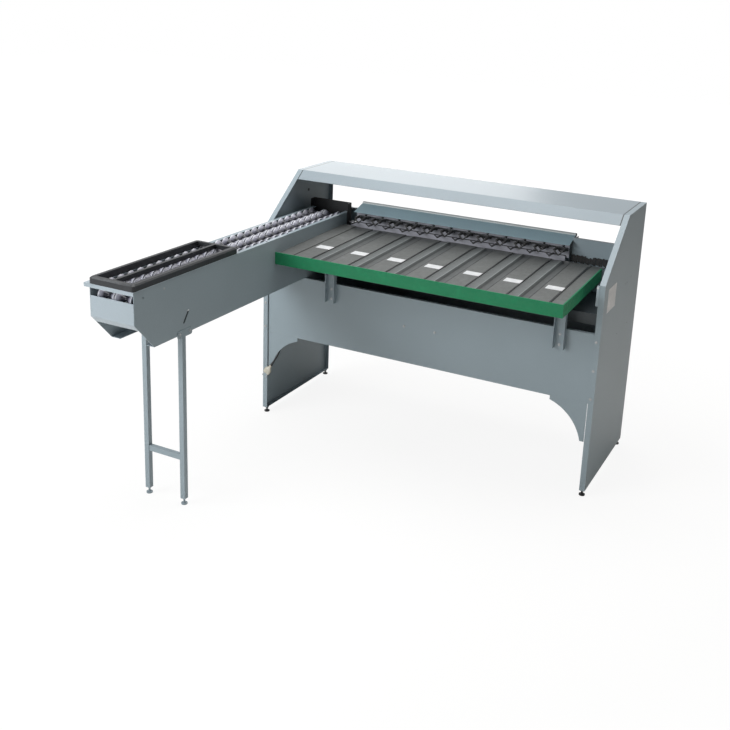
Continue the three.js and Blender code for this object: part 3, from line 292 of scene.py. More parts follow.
paint = painted("paint_grey_blue", GREY_BLUE)
paint_pale = painted("paint_pale", PALE_BLUE)
# The canopy's ends carry a painted shadow of the gap beside the side panels
canopy_paint = painted("paint_canopy", (0.31, 0.37, 0.41), 0.36, CANOPY_HALF - SEAM_WIDTH)
cover_paint = painted("paint_cover", (0.47, 0.64, 0.71))
# The bead's pale colour is a painted highlight on the cover's rolled edge
bead_highlight_paint = painted("paint_bead_highlight", (0.72, 0.75, 0.74), 0.3)
paint_dark = painted("paint_dark", (0.075, 0.09, 0.10), 0.45)
paint_black = painted("paint_black", (0.014, 0.015, 0.017), 0.45)
sheet_steel = brushed("table_steel", (0.165, 0.172, 0.168), 0.56, "y", 0.2)
ridge_steel = ridge_with_painted_highlight("divider_steel", (0.10, 0.106, 0.106), (0.34, 0.37, 0.37))
plate_grey = brushed("scale_plate_steel", (0.50, 0.50, 0.56), 0.5, "x", 0.1)
bright_steel = brushed("bright_steel", (0.55, 0.56, 0.57), 0.3, "x")
zinc = zinc_plated("zinc")
green = plastic("green_strip", (0.002, 0.205, 0.082), 0.55, 900)
black_plastic = plastic("black_moulding", CHARCOAL, 0.42, 900, 0.15)
black_wire = plastic("black_coated_wire", (0.02, 0.02, 0.022), 0.35, 1500, 0.3)
# Waist, cone and rim colours: the near-black waist is painted shade, the pale rim a painted highlight
nylon = roller_nylon("grey_nylon", (0.012, 0.013, 0.022), (0.34, 0.34, 0.41), (0.80, 0.80, 0.86))
rubber = rubbery("rubber")
cord_rubber = rubbery("cord_sheath", (0.02, 0.02, 0.021))
beige = plastic("beige_plug", (0.62, 0.58, 0.48), 0.4, 1100, 0.15)
label_white = plastic("label_white", (0.80, 0.81, 0.82), 0.5, 2000)
motor_paint = painted("motor_paint", (0.05, 0.09, 0.14), 0.42)
sleeve_rubber = rubbery("plug_sleeve_rubber", (0.03, 0.032, 0.034))

# Mesh helpers: the counts are the corners of large, medium and small round forms
LARGE_ROUND, MEDIUM_ROUND, SMALL_ROUND = 24, 20, 16
WELD_DISTANCE = 1e-7
EASED_EDGE = 0.001


def new_object(name, vertices, faces, material, body="frame", sharp=30.0):
    """Mesh object in place on a body, smooth but for edges over the sharp angle."""
    mesh = bpy.data.meshes.new(name)
    mesh.from_pydata([tuple(v) for v in vertices], [], faces)
    mesh.validate()
    built = bmesh.new()
    built.from_mesh(mesh)
    bmesh.ops.remove_doubles(built, verts=built.verts, dist=WELD_DISTANCE)
    bmesh.ops.recalc_face_normals(built, faces=built.faces)
    for face in built.faces:
        face.smooth = True
    for edge in built.edges:
        if len(edge.link_faces) == 2:
            edge.smooth = edge.calc_face_angle(0) < math.radians(sharp)
    built.to_mesh(mesh)
    built.free()
    mesh.materials.append(material)
    made = bpy.data.objects.new(name, mesh)
    bpy.context.scene.collection.objects.link(made)
    if body:
        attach(made, body)
    return made


def tube_faces(rings, segments):
    """Faces between rings of points, with a cap on both ends."""
    faces = []
    for i in range(rings - 1):
        for k in range(segments):
            a = i * segments + k
            b = i * segments + (k + 1) % segments
            faces.append((a, b, b + segments, a + segments))
    last = (rings - 1) * segments
    faces += [tuple(range(segments)), tuple(reversed(range(last, last + segments)))]
    return faces


def lathe(profile, segments, place=Matrix()):
    """Vertices and faces of an [x, radius] profile turned about the X axis."""
    vertices = []
    for x, radius in profile:
        for k in range(segments):
            angle = 2 * math.pi * k / segments
            vertices.append(place @ Vector((x, radius * math.cos(angle), radius * math.sin(angle))))
    return vertices, tube_faces(len(profile), segments)


def bar(start, end, radius, place, segments=LARGE_ROUND, ease=EASED_EDGE):
    """Round bar along X with both of its edges eased."""
    profile = [(start, radius - ease), (start + ease, radius), (end - ease, radius), (end, radius - ease)]
    return lathe(profile, segments, place)


def block(low, high, place=Matrix()):
    """Vertices and faces of a box between two corners."""
    corners = [(x, y, z) for x in (low[0], high[0]) for y in (low[1], high[1]) for z in (low[2], high[2])]
    faces = [(0, 1, 3, 2), (4, 6, 7, 5), (0, 4, 5, 1), (2, 3, 7, 6), (0, 2, 6, 4), (1, 5, 7, 3)]
    return [place @ Vector(c) for c in corners], faces


def prism(outline, low, high, place=Matrix()):
    """Vertices and faces of an outline of (x, y) points that reaches from low to high in z."""
    n = len(outline)
    vertices = [place @ Vector((x, y, low)) for x, y in outline]
    vertices += [place @ Vector((x, y, high)) for x, y in outline]
    faces = [(i, (i + 1) % n, n + (i + 1) % n, n + i) for i in range(n)]
    faces += [tuple(reversed(range(n))), tuple(range(n, 2 * n))]
    return vertices, faces


def gathered(parts):
    """Several (vertices, faces) as one."""
    vertices = []
    faces = []
    for part_vertices, part_faces in parts:
        start = len(vertices)
        vertices += part_vertices
        faces += [tuple(start + i for i in face) for face in part_faces]
    return vertices, faces


def bevelled(made, width, segments=2, angle=30.0):
    modifier = made.modifiers.new("edges", "BEVEL")
    modifier.width = width
    modifier.segments = segments
    modifier.limit_method = "ANGLE"
    modifier.angle_limit = math.radians(angle)
    return made


def facing(normal, at):
    """Frame whose X axis points along the normal, with its origin at the place."""
    return Matrix.Translation(at) @ Vector(normal).to_track_quat("X", "Z").to_matrix().to_4x4()


# Turns for a prism: its outline in Y and Z with its depth along X, or in X and Z with it along Y
SIDE_ON = Matrix(((0, 0, 1, 0), (1, 0, 0, 0), (0, 1, 0, 0), (0, 0, 0, 1)))
FRONT_ON = Matrix(((1, 0, 0, 0), (0, 0, 1, 0), (0, 1, 0, 0), (0, 0, 0, 1)))


def upright(outline, front, back):
    """Sheet of (x, z) points that stands between two places in y, all in the drawing frame."""
    points = [at_mm(x, 0, z).xz for x, z in outline]
    return prism(points, at_mm(0, front, 0).y, at_mm(0, back, 0).y, FRONT_ON)


def round_curve(name, points, radius, material, closed=False):
    """Curve of round section: open with flat ends, or a closed loop."""
    curve = bpy.data.curves.new(name, "CURVE")
    curve.dimensions = "3D"
    curve.bevel_depth = radius
    curve.bevel_resolution = 3
    curve.use_fill_caps = not closed
    spline = curve.splines.new("POLY")
    spline.points.add(len(points) - 1)
    for target, point in zip(spline.points, points):
        target.co = (*point, 1)
    spline.use_cyclic_u = closed
    spline.use_smooth = True
    curve.materials.append(material)
    made = bpy.data.objects.new(name, curve)
    bpy.context.scene.collection.objects.link(made)
    return made


def pair(stem):
    return [f"{stem}_left", f"{stem}_right"]


# Solids that keep their form: each gets its finish and eased edges
SHEET_EDGE = 0.0006
SOLID_ANGLE = 40
ROUNDED = {"loading_frame": 0.004, "terminal_box": 0.003, "gearmotor": 0.003, "table_bumper": 0.0015}
BODY_SHEETS = [*pair("side_panel"), "front_panel", "rear_panel", *pair("gusset"), "lane_back_panel"]
FINISHES = {
    paint: [*BODY_SHEETS, *pair("conveyor_side"), "leg_frame", *pair("table_bracket")],
    canopy_paint: ["canopy"],
    cover_paint: ["scale_cover"],
    paint_pale: ["conveyor_end_panel", "loading_shelf"],
    paint_dark: ["base_pan", "mechanism_deck", *pair("scale_end_plate")],
    paint_black: ["infeed_end_stop", *pair("foot_front"), *pair("foot_rear")],
    sheet_steel: ["collection_table"],
    plate_grey: ["walking_beam"],
    bright_steel: ["pivot_shaft", "lift_frame", "crank_disc"],
    black_wire: ["beam_forks"],
    black_plastic: ["terminal_box", "loading_frame"],
    green: ["table_bumper"],
    motor_paint: ["gearmotor"],
}


def finish_solid(name, material):
    solid = nodes[name]
    solid.data.materials.clear()
    solid.data.materials.append(material)
    bevelled(solid, ROUNDED.get(name, SHEET_EDGE), 3 if name in ROUNDED else 2, SOLID_ANGLE)


for solid_finish, solid_names in FINISHES.items():
    for solid_name in solid_names:
        finish_solid(solid_name, solid_finish)

# Power cord: the coil on the base pan and the end that hangs out under the front panel
CORD_DIAMETER = 0.007
COIL_CENTRE = at_mm(150, 130, 0)
COIL_INNER = 0.028
COIL_TURN_PITCH = 0.0079
COIL_LAYER_PITCH = 0.0079
COIL_LOOPS = 6.25
COIL_LOOPS_BELOW = 3.5
COIL_STEPS = 24
COIL_REST = 0.3961
COIL_ENTRY = 0.4009
DESCENT_TURNS = 0.3
CLIMB_TURNS = 0.25
TAIL_STEPS = 4
CORD_TAIL = [
    (98, 101, 408), (94, 88, 415), (91, 75, 419), (88, 62, 417), (86, 51, 410),
    (84, 43, 399), (83, 38, 384), (81, 35, 362), (79, 28, 336), (77, 19, 310),
    (71, 7, 284), (62, -6, 261), (51, -13, 240),
]


def smoothstep(value, low, high):
    share = min(1.0, max(0.0, (value - low) / (high - low)))
    return share * share * (3 - 2 * share)


def coil_point(step):
    turns = step / COIL_STEPS
    climb = smoothstep(turns, COIL_LOOPS_BELOW - CLIMB_TURNS, COIL_LOOPS_BELOW + CLIMB_TURNS)
    descent = 1 - smoothstep(turns, 0, DESCENT_TURNS)
    radius = COIL_INNER + abs(turns - COIL_LOOPS_BELOW) * COIL_TURN_PITCH
    angle = math.pi / 2 + turns * 2 * math.pi
    height = COIL_REST + climb * COIL_LAYER_PITCH + descent * (COIL_ENTRY - COIL_REST)
    return COIL_CENTRE + Vector((radius * math.cos(angle), radius * math.sin(angle), height))


def catmull_rom(points, steps):
    """Points on a smooth curve through the given ones."""
    padded = [2 * points[0] - points[1], *points, 2 * points[-1] - points[-2]]
    curve = []
    for i in range(1, len(padded) - 2):
        before, start, end, after = padded[i - 1 : i + 3]
        bend = 2 * before - 5 * start + 4 * end - after
        twist = 3 * start - before - 3 * end + after
        for k in range(steps):
            t = k / steps
            curve.append(0.5 * (2 * start + (end - before) * t + bend * t * t + twist * t**3))
    curve.append(points[-1])
    return curve


def make_cord():
    coil = [coil_point(step) for step in range(int(COIL_LOOPS * COIL_STEPS) + 1)]
    entry = coil[0] + Vector((CORD_DIAMETER, 0, 0))
    leaving = coil[-1] - Vector((0, CORD_DIAMETER, 0))
    tail = [leaving] + [at_mm(*place) for place in CORD_TAIL]
    points = [entry] + coil + catmull_rom(tail, TAIL_STEPS)
    made = round_curve("power_cord", points, CORD_DIAMETER / 2, cord_rubber)
    length = sum((b - a).length for a, b in zip(points, points[1:]))
    return made, entry, length


cord, cord_exit, cord_length = make_cord()
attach(cord, "frame")
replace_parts(cord, "cord_coil", "cord_tail")

# Plug: a moulded body, a ribbed sleeve round the cord's end, and two pins
PLUG_GAP = 0.0003
PLUG_LENGTH = 0.042
HALF_WIDTH = 0.017
HALF_THICKNESS = 0.0075
# Distance from the cord, half width and half thickness of each section of the body
PLUG_RINGS = [
    (0.0, 0.0052, 0.0052),
    (0.008, 0.0062, 0.0056),
    (0.013, 0.0085, 0.0062),
    (0.019, 0.0150, 0.0070),
    (0.024, HALF_WIDTH, HALF_THICKNESS),
    (0.036, HALF_WIDTH, HALF_THICKNESS),
    (0.0405, HALF_WIDTH * 0.97, HALF_THICKNESS * 0.94),
    (PLUG_LENGTH, HALF_WIDTH * 0.90, HALF_THICKNESS * 0.84),
]
PLUG_SEGMENTS = 32
PLUG_ROUNDNESS = 0.7
PLUG_SHARP = 50
PIN_RADIUS = 0.002
PIN_LENGTH = 0.019
PIN_SPACING = 0.019
SLEEVE_RIBS = 5
SLEEVE_PITCH = 0.0045
SLEEVE_RADIUS = 0.0042
SLEEVE_TAPER = 0.0003
SLEEVE_GROOVE = 0.0006


def squared(value):
    """Cosine or sine of a circle that is pushed out towards a square."""
    return math.copysign(abs(value) ** PLUG_ROUNDNESS, value)


def make_plug():
    tip = at_mm(*CORD_TAIL[-1])
    along = (tip - at_mm(*CORD_TAIL[-2])).normalized()
    place = Matrix.Translation(tip + along * PLUG_GAP)
    place = place @ Vector((0, 0, -1)).rotation_difference(along).to_matrix().to_4x4()
    vertices = []
    for depth, wide, thick in PLUG_RINGS:
        for k in range(PLUG_SEGMENTS):
            angle = 2 * math.pi * k / PLUG_SEGMENTS
            across, over = wide * squared(math.cos(angle)), thick * squared(math.sin(angle))
            vertices.append(place @ Vector((across, over, -depth)))
    faces = tube_faces(len(PLUG_RINGS), PLUG_SEGMENTS)
    body = new_object("plug_body", vertices, faces, beige, sharp=PLUG_SHARP)
    pin = [(0.0, PIN_RADIUS), (PIN_LENGTH, PIN_RADIUS), (PIN_LENGTH + PIN_RADIUS / 2, PIN_RADIUS / 2)]
    pins = []
    for side in (-1, 1):
        start = Matrix.Translation((side * PIN_SPACING / 2, 0, -PLUG_LENGTH + PIN_RADIUS))
        pins.append(lathe(pin, SMALL_ROUND, place @ start @ Matrix.Rotation(math.pi / 2, 4, "Y")))
    pin_pair = new_object("plug_pins", *gathered(pins), bright_steel)
    ribs = []
    for i in range(SLEEVE_RIBS):
        low = i * SLEEVE_PITCH
        middle = low + SLEEVE_PITCH / 2
        wide = SLEEVE_RADIUS + (SLEEVE_RIBS - i) * SLEEVE_TAPER
        narrow = wide - SLEEVE_GROOVE
        ribs += [(low, wide), (middle, wide), (middle, narrow), (low + SLEEVE_PITCH, narrow)]
    upwards = place @ Matrix.Rotation(-math.pi / 2, 4, "Y")
    sleeve = new_object("plug_sleeve", *lathe(ribs, MEDIUM_ROUND, upwards), sleeve_rubber)
    return body, pin_pair, sleeve


plug_body, plug_pins, plug_sleeve = make_plug()
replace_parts(plug_body, "plug")

# Rollers: two waisted rollers on each rod, rods between side chains, and a reel at each end
ROD_PITCH = 0.0508
RUN_RODS = 26
END_RADIUS = 0.022
ROD_RADIUS = 0.004
ROD_EASE = ROD_RADIUS / 5
ROD_SEGMENTS = 14
ROLLER_LENGTH = 0.070
ROLLER_GAP = 0.004
ROLLER_SEGMENTS = 28
ROLLER_SHARP = 40
RETURN_SEGMENTS = 14
RIM_WIDTH = 0.0025
RIM_EASE = 0.0008
NECK_RADIUS = 0.006
NECK_FLARE = RIM_WIDTH * 0.75
HUB_RADIUS = 0.010
HUB_RECESS = 0.0015
REEL_TEETH = 6
CHAIN_HEIGHT = 0.010
LINK_PLATE = 0.0011
LINK_WAIST = 0.62
LINK_STEPS = 8
# Distance of a link's two plates from the side of the run
OUTER_LINK = (0.0001, 0.0027)
INNER_LINK = (0.0013, 0.0016)

run_low, run_high = (Vector(corner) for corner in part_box("roller_run"))
ROD_LEFT = run_low.x
ROD_RIGHT = run_high.x
ROW_MIDDLE = (ROD_LEFT + ROD_RIGHT) / 2
PITCH_RADIUS = ROD_PITCH / (2 * math.sin(math.pi / REEL_TEETH))
# The solid's rollers have flats, so its box ends at their distance from the rod
SOLID_FLATS = 8
FLAT_RADIUS = END_RADIUS * math.cos(math.pi / SOLID_FLATS)
TAIL_Y = run_low.y + FLAT_RADIUS
AXIS_Z = run_high.z - FLAT_RADIUS


def roller_profile(start):
    """Waisted roller with a narrow rim, a straight cone and a sunk hub at each end."""
    middle = ROLLER_LENGTH / 2
    half = [
        (HUB_RECESS, ROD_RADIUS),
        (HUB_RECESS, HUB_RADIUS),
        (0.0, HUB_RADIUS + HUB_RECESS),
        (0.0, END_RADIUS - RIM_EASE),
        (RIM_EASE, END_RADIUS),
        (RIM_WIDTH, END_RADIUS),
        (RIM_WIDTH + 2 * RIM_EASE, END_RADIUS - RIM_EASE),
        (middle - 2 * RIM_WIDTH, NECK_RADIUS + NECK_FLARE),
        (middle - RIM_WIDTH, NECK_RADIUS + RIM_EASE / 2),
    ]
    mirrored = [(ROLLER_LENGTH - x, r) for x, r in reversed(half)]
    whole = half + [(middle, NECK_RADIUS)] + mirrored
    return [(start + x, r) for x, r in whole]


def rod_place(y, z):
    return Matrix.Translation((0, y, z))


def rollers_at(places, segments=ROLLER_SEGMENTS):
    parts = []
    for place in places:
        for start in (ROW_MIDDLE - ROLLER_GAP / 2 - ROLLER_LENGTH, ROW_MIDDLE + ROLLER_GAP / 2):
            parts.append(lathe(roller_profile(start), segments, place))
    return gathered(parts)


def with_girth(made, places):
    """Stores how far each point lies from its rod, from 0 at the neck to 1 at the rim."""
    axes = [place.translation for place in places]
    girth = made.data.attributes.new("girth", "FLOAT", "POINT")
    for vertex in made.data.vertices:
        radius = min(math.hypot(vertex.co.y - a.y, vertex.co.z - a.z) for a in axes)
        girth.data[vertex.index].value = (radius - NECK_RADIUS) / (END_RADIUS - NECK_RADIUS)
    return made


def rods_at(places):
    rods = [bar(ROD_LEFT, ROD_RIGHT, ROD_RADIUS, place, ROD_SEGMENTS, ROD_EASE) for place in places]
    return gathered(rods)


def rounded_link(start_y, end_y, z, x0, x1):
    """Waisted chain plate between two pins, seen from the side."""
    outline = []
    radius = CHAIN_HEIGHT / 2
    for centre, first, side in ((end_y, -90, 1), (start_y, 90, -1)):
        for k in range(LINK_STEPS + 1):
            angle = math.radians(first + 180 * k / LINK_STEPS)
            outline.append((centre + radius * math.cos(angle), z + radius * math.sin(angle)))
        outline.append(((start_y + end_y) / 2, z + side * radius * LINK_WAIST))
    return prism(outline, x0, x1, SIDE_ON)


def chain_run():
    """Plates of both side chains: inner and outer links by turns, two to each rod pitch."""
    parts = []
    link = ROD_PITCH / 2
    for edge, inwards in ((ROD_LEFT, 1), (ROD_RIGHT, -1)):
        for i in range((RUN_RODS - 1) * 2):
            start = TAIL_Y + i * link
            for depth in OUTER_LINK if i % 2 else INNER_LINK:
                near = edge + inwards * depth
                far = near + inwards * LINK_PLATE
                parts.append(rounded_link(start, start + link, AXIS_Z, min(near, far), max(near, far)))
    return gathered(parts)


TRAY_SIDE = 0.012
TRAY_END = 0.085
TRAY_DEPTH = 0.008
TRAY_SHEET = 0.002


def return_run():
    """Rods and rollers on their way back under the top run, seen only between the rollers."""
    low_z = AXIS_Z - 2 * PITCH_RADIUS
    places = [rod_place(TAIL_Y + i * ROD_PITCH, low_z) for i in range(1, RUN_RODS - 1)]
    returning = rollers_at(places, RETURN_SEGMENTS)
    with_girth(new_object("return_rollers", *returning, nylon, "frame", ROLLER_SHARP), places)
    new_object("return_rods", *rods_at(places), bright_steel, "frame")


def shade_tray():
    """Dark sheet with turned-up edges between the two runs, put there as painted shade under the rollers.
    """
    left, right = ROD_LEFT + TRAY_SIDE, ROD_RIGHT - TRAY_SIDE
    front = TAIL_Y + TRAY_END
    back = TAIL_Y + RUN_RODS * ROD_PITCH - TRAY_END
    top = AXIS_Z - END_RADIUS - TRAY_DEPTH
    rim = top + 2 * TRAY_SHEET
    sheets = [
        block((left, front, top - TRAY_SHEET), (right, back, top)),
        block((left, front, top), (left + TRAY_SHEET, back, rim)),
        block((right - TRAY_SHEET, front, top), (right, back, rim)),
    ]
    new_object("shade_tray", *gathered(sheets), paint_black)


return_run()
# Black tray under the top run: painted shade between the rollers
shade_tray()
run_places = [rod_place(TAIL_Y + i * ROD_PITCH, AXIS_Z) for i in range(RUN_RODS)]
run_rollers = new_object("run_rollers", *rollers_at(run_places), nylon, "roller_run", ROLLER_SHARP)
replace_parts(with_girth(run_rollers, run_places), "roller_run")
new_object("run_rods", *rods_at(run_places), bright_steel, "roller_run")
new_object("run_chains", *chain_run(), zinc, "roller_run")

# Reels: rods and rollers on a shaft with two discs
DISC_ROOT_GAP = 0.0025
DISC_THICKNESS = 0.004
DISC_GAP = 0.005
SHAFT_RADIUS = 0.008
TOOTH_STEPS = 12
TOOTH_RISE = 0.6


def sprocket(x, y, z):
    """Disc that swells between the rod seats."""
    outline = []
    root = PITCH_RADIUS - ROD_RADIUS - DISC_ROOT_GAP
    steps = REEL_TEETH * TOOTH_STEPS
    for k in range(steps):
        phase = (k % TOOTH_STEPS) / TOOTH_STEPS
        swell = max(0.0, math.sin((phase - 0.25) * 2 * math.pi))
        radius = root + (PITCH_RADIUS - root) * swell * TOOTH_RISE
        angle = 2 * math.pi * k / steps
        outline.append((y + radius * math.sin(angle), z + radius * math.cos(angle)))
    return prism(outline, x, x + DISC_THICKNESS, SIDE_ON)


def make_reel(node, y, teeth):
    axis_z = AXIS_Z - PITCH_RADIUS
    places = []
    for tooth in teeth:
        turn = Matrix.Rotation(-math.radians(tooth * 360 / REEL_TEETH), 4, "X")
        places.append(rod_place(y, axis_z) @ turn @ Matrix.Translation((0, 0, PITCH_RADIUS)))
    rollers = new_object(f"{node}_rollers", *rollers_at(places), nylon, node, ROLLER_SHARP)
    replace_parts(with_girth(rollers, places), node)
    new_object(f"{node}_rods", *rods_at(places), bright_steel, node)
    discs = (ROD_LEFT + DISC_GAP, ROD_RIGHT - DISC_GAP - DISC_THICKNESS)
    wheel = [sprocket(x, y, axis_z) for x in discs]
    low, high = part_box(node)
    shaft = [(low[0], SHAFT_RADIUS), (high[0], SHAFT_RADIUS)]
    wheel.append(lathe(shaft, LARGE_ROUND, rod_place(y, axis_z)))
    new_object(f"{node}_sprockets", *gathered(wheel), zinc, node)


make_reel("tail_reel", TAIL_Y, (-1, -2, -3))
make_reel("head_reel", TAIL_Y + RUN_RODS * ROD_PITCH, (0, 1, 2, 3))

# Weighing cups: bent wire with pads on a flat arm, a saddle, and a hub and counterweight on the arm
CUP_COUNT = 12
CUP_WIDTH = 0.037
CUP_FRONT = 0.099
CUP_BACK = 0.055
VEE_TOP = 0.003
VEE_BOTTOM = 0.0216
WIRE_RADIUS = 0.0034
WIRE_BEND = 0.006
BEND_STEPS = 5
ARM_THICKNESS = 0.005
ARM_HEIGHT = 0.006
ARM_EDGE = 0.0007
ARM_KNEE = 0.044
KNEE_DROP = 0.0032
KNEE_BACK_DROP = 0.0048
HUB_OUTER = 0.010
HUB_WIDTH = 0.016
WEIGHT_RADIUS = 0.013
WEIGHT_WIDTH = 0.028
WEIGHT_REACH = 0.056
SADDLE_HALF = 0.026
SADDLE_BACK = -0.051
SADDLE_FRONT = -0.0415
SADDLE_LOW = -0.0125
SADDLE_TOP = 0.0015
SADDLE_EDGE = 0.0022
PAD_RADIUS = 0.0058
PAD_START = -0.093
PAD_LENGTH = 0.032
CUP_AXIS_Y = 0.6198
CUP_AXIS_Z = 0.905


def rounded_path(points, radius, steps=BEND_STEPS):
    """Closed path with its corners rounded by quadratic arcs."""
    rounded = []
    n = len(points)
    for i, corner in enumerate(points):
        before = points[i - 1]
        after = points[(i + 1) % n]
        start = corner + (before - corner).normalized() * radius
        end = corner + (after - corner).normalized() * radius
        for k in range(steps + 1):
            t = k / steps
            rounded.append(start * (1 - t) ** 2 + corner * 2 * t * (1 - t) + end * t * t)
    return rounded


def wire(name, points, radius, material, body):
    """Closed loop of wire on a body."""
    made = round_curve(name, points, radius, material, closed=True)
    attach(made, body)
    return made


def cup_loop():
    """Corners of the cradle's wire: a vee at the back and one in front, joined along the sides."""
    half = CUP_WIDTH / 2
    vee = [(-half, -VEE_TOP), (0, -VEE_BOTTOM), (half, -VEE_TOP)]
    return [(x, -CUP_BACK, z) for x, z in vee] + [(x, -CUP_FRONT, z) for x, z in reversed(vee)]


def arm_outline():
    """Side of the flat arm, from the weight's end down to the cradle's lowest point and back."""
    rise = ARM_HEIGHT / 2
    seat = -VEE_BOTTOM + WIRE_RADIUS / 2
    return [
        (WEIGHT_REACH, rise),
        (WEIGHT_REACH, -rise),
        (0, -rise),
        (-ARM_KNEE + rise, -rise - KNEE_DROP),
        (-CUP_BACK + rise, seat),
        (-CUP_BACK - WIRE_RADIUS / 2, seat),
        (-ARM_KNEE - rise / 2, rise - KNEE_BACK_DROP),
        (-ARM_KNEE + rise / 2, rise - KNEE_DROP),
        (0, rise),
    ]


def make_cup(number):
    node = f"weighing_cup_{number:02d}"
    body = f"cup_{number:02d}"
    low, high = (Vector(corner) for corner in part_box(node))
    centre = Vector(((low.x + high.x) / 2, CUP_AXIS_Y, CUP_AXIS_Z))
    place = Matrix.Translation(centre)
    path = rounded_path([centre + Vector(corner) for corner in cup_loop()], WIRE_BEND)
    cradle = wire(f"cup_wire_{number:02d}", path, WIRE_RADIUS, black_wire, body)
    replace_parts(cradle, node)
    arm = prism(arm_outline(), -ARM_THICKNESS / 2, ARM_THICKNESS / 2, place @ SIDE_ON)
    bevelled(new_object(f"cup_arm_{number:02d}", *arm, black_wire, body), ARM_EDGE)
    weight_place = Matrix.Translation(centre + Vector((0, WEIGHT_REACH, 0)))
    turned = [
        bar(-HUB_WIDTH / 2, HUB_WIDTH / 2, HUB_OUTER, place),
        bar(-WEIGHT_WIDTH / 2, WEIGHT_WIDTH / 2, WEIGHT_RADIUS, weight_place),
    ]
    new_object(f"cup_hub_{number:02d}", *gathered(turned), zinc, body)
    pads = []
    for side in (-CUP_WIDTH / 2, CUP_WIDTH / 2):
        pad_place = facing(BACK, centre + Vector((side, PAD_START, -VEE_TOP)))
        pads.append(bar(0.0, PAD_LENGTH, PAD_RADIUS, pad_place, MEDIUM_ROUND))
    new_object(f"cup_pads_{number:02d}", *gathered(pads), rubber, body)
    saddle = block((-SADDLE_HALF, SADDLE_BACK, SADDLE_LOW), (SADDLE_HALF, SADDLE_FRONT, SADDLE_TOP), place)
    bevelled(new_object(f"cup_saddle_{number:02d}", *saddle, black_plastic, body), SADDLE_EDGE, 3)


for cup_number in range(1, CUP_COUNT + 1):
    make_cup(cup_number)

# Scale plate: pale sheet behind the cups, with a slot for each arm, and black bars between them as painted
# shade on the plate
PLATE_FRONT = 316.0
PLATE_BACK = 317.6
PLATE_LEFT = 285.3
PLATE_RIGHT = 1262.7
PLATE_LOW = 860.0
PLATE_HIGH = 917.0
SLOT_LOW = 889.0
FIRST_CUP = 330.5
CUP_PITCH = 82.5
SLOT_HALF = 5.5
SHADE_BAR_ROOM = 12.0
SHADE_BAR_DEPTH = 4.0
SHADE_BAR_LOW = 896.0
SHADE_BAR_HIGH = 903.0
SHADE_BAR_EDGE = 0.0012


def scale_plate():
    outline = [(PLATE_LEFT, PLATE_HIGH), (PLATE_LEFT, PLATE_LOW), (PLATE_RIGHT, PLATE_LOW)]
    outline.append((PLATE_RIGHT, PLATE_HIGH))
    for i in reversed(range(CUP_COUNT)):
        middle = FIRST_CUP + CUP_PITCH * i
        right, left = middle + SLOT_HALF, middle - SLOT_HALF
        outline += [(right, PLATE_HIGH), (right, SLOT_LOW), (left, SLOT_LOW), (left, PLATE_HIGH)]
    return upright(outline, PLATE_FRONT, PLATE_BACK)


# Black bars between the cups: painted shade on the plate
def scale_shade_bars():
    parts = []
    for i in range(CUP_COUNT - 1):
        left = FIRST_CUP + CUP_PITCH * i + SHADE_BAR_ROOM
        low = at_mm(left, PLATE_FRONT - SHADE_BAR_DEPTH, SHADE_BAR_LOW)
        high = at_mm(left + CUP_PITCH - 2 * SHADE_BAR_ROOM, PLATE_FRONT, SHADE_BAR_HIGH)
        parts.append(block(low, high))
    return gathered(parts)


new_object("scale_plate", *scale_plate(), plate_grey)
bevelled(new_object("scale_shade_bars", *scale_shade_bars(), black_plastic), SHADE_BAR_EDGE, 2)

# Cover: a rolled upper edge painted pale as a painted highlight, and a dark lip along the right end
BEAD_RADIUS = 0.0078
BEAD_AT = at_mm(0, 381, 943)
LIP_GAP = 0.0001
LIP_WIDTH = 0.0016
LIP_RISE = 1.2
LIP_DEPTH = 4.5
LIP_PATH = [(295.5, 918), (374, 943), (376, 947.4), (381, 949.8), (386, 947.6), (388, 943)]

cover_low, cover_high = (Vector(corner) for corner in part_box("scale_cover"))
bead_place = Matrix.Translation((0, BEAD_AT.y, BEAD_AT.z))
new_object("cover_bead", *bar(cover_low.x, cover_high.x, BEAD_RADIUS, bead_place), bead_highlight_paint)
lip_outline = [(y, z + LIP_RISE) for y, z in LIP_PATH] + [(y, z - LIP_DEPTH) for y, z in reversed(LIP_PATH)]
lip_points = [at_mm(0, y, z).yz for y, z in lip_outline]
lip = prism(lip_points, cover_high.x + LIP_GAP, cover_high.x + LIP_WIDTH, SIDE_ON)
new_object("cover_end_lip", *lip, paint_black)

# Lane flap: a row of ragged rubber strips that hang down behind the table's top edge
FLAP_LEFT = 1269.0
FLAP_RIGHT = 1419.0
FLAP_FRONT = 331.0
FLAP_SHEET = 1.6
FLAP_STAGGER = 0.9
FLAP_TEETH = 22
FLAP_TOP = 873.0
FLAP_TOP_UNEVEN = 1.8
FLAP_FOOT = 842.0
FLAP_FOOT_UNEVEN = 2.2
FLAP_NOTCH = range(9, 13)
FLAP_NOTCH_DEPTH = 6.0
STRIP_WIDTHS = (0.9, 0.97)
STRIP_TAPER = 0.9
STRIP_LEAN = 1.2
SWAY_STEP = 2.4
LEAN_STEP = 1.7
LEAN_START = 0.6


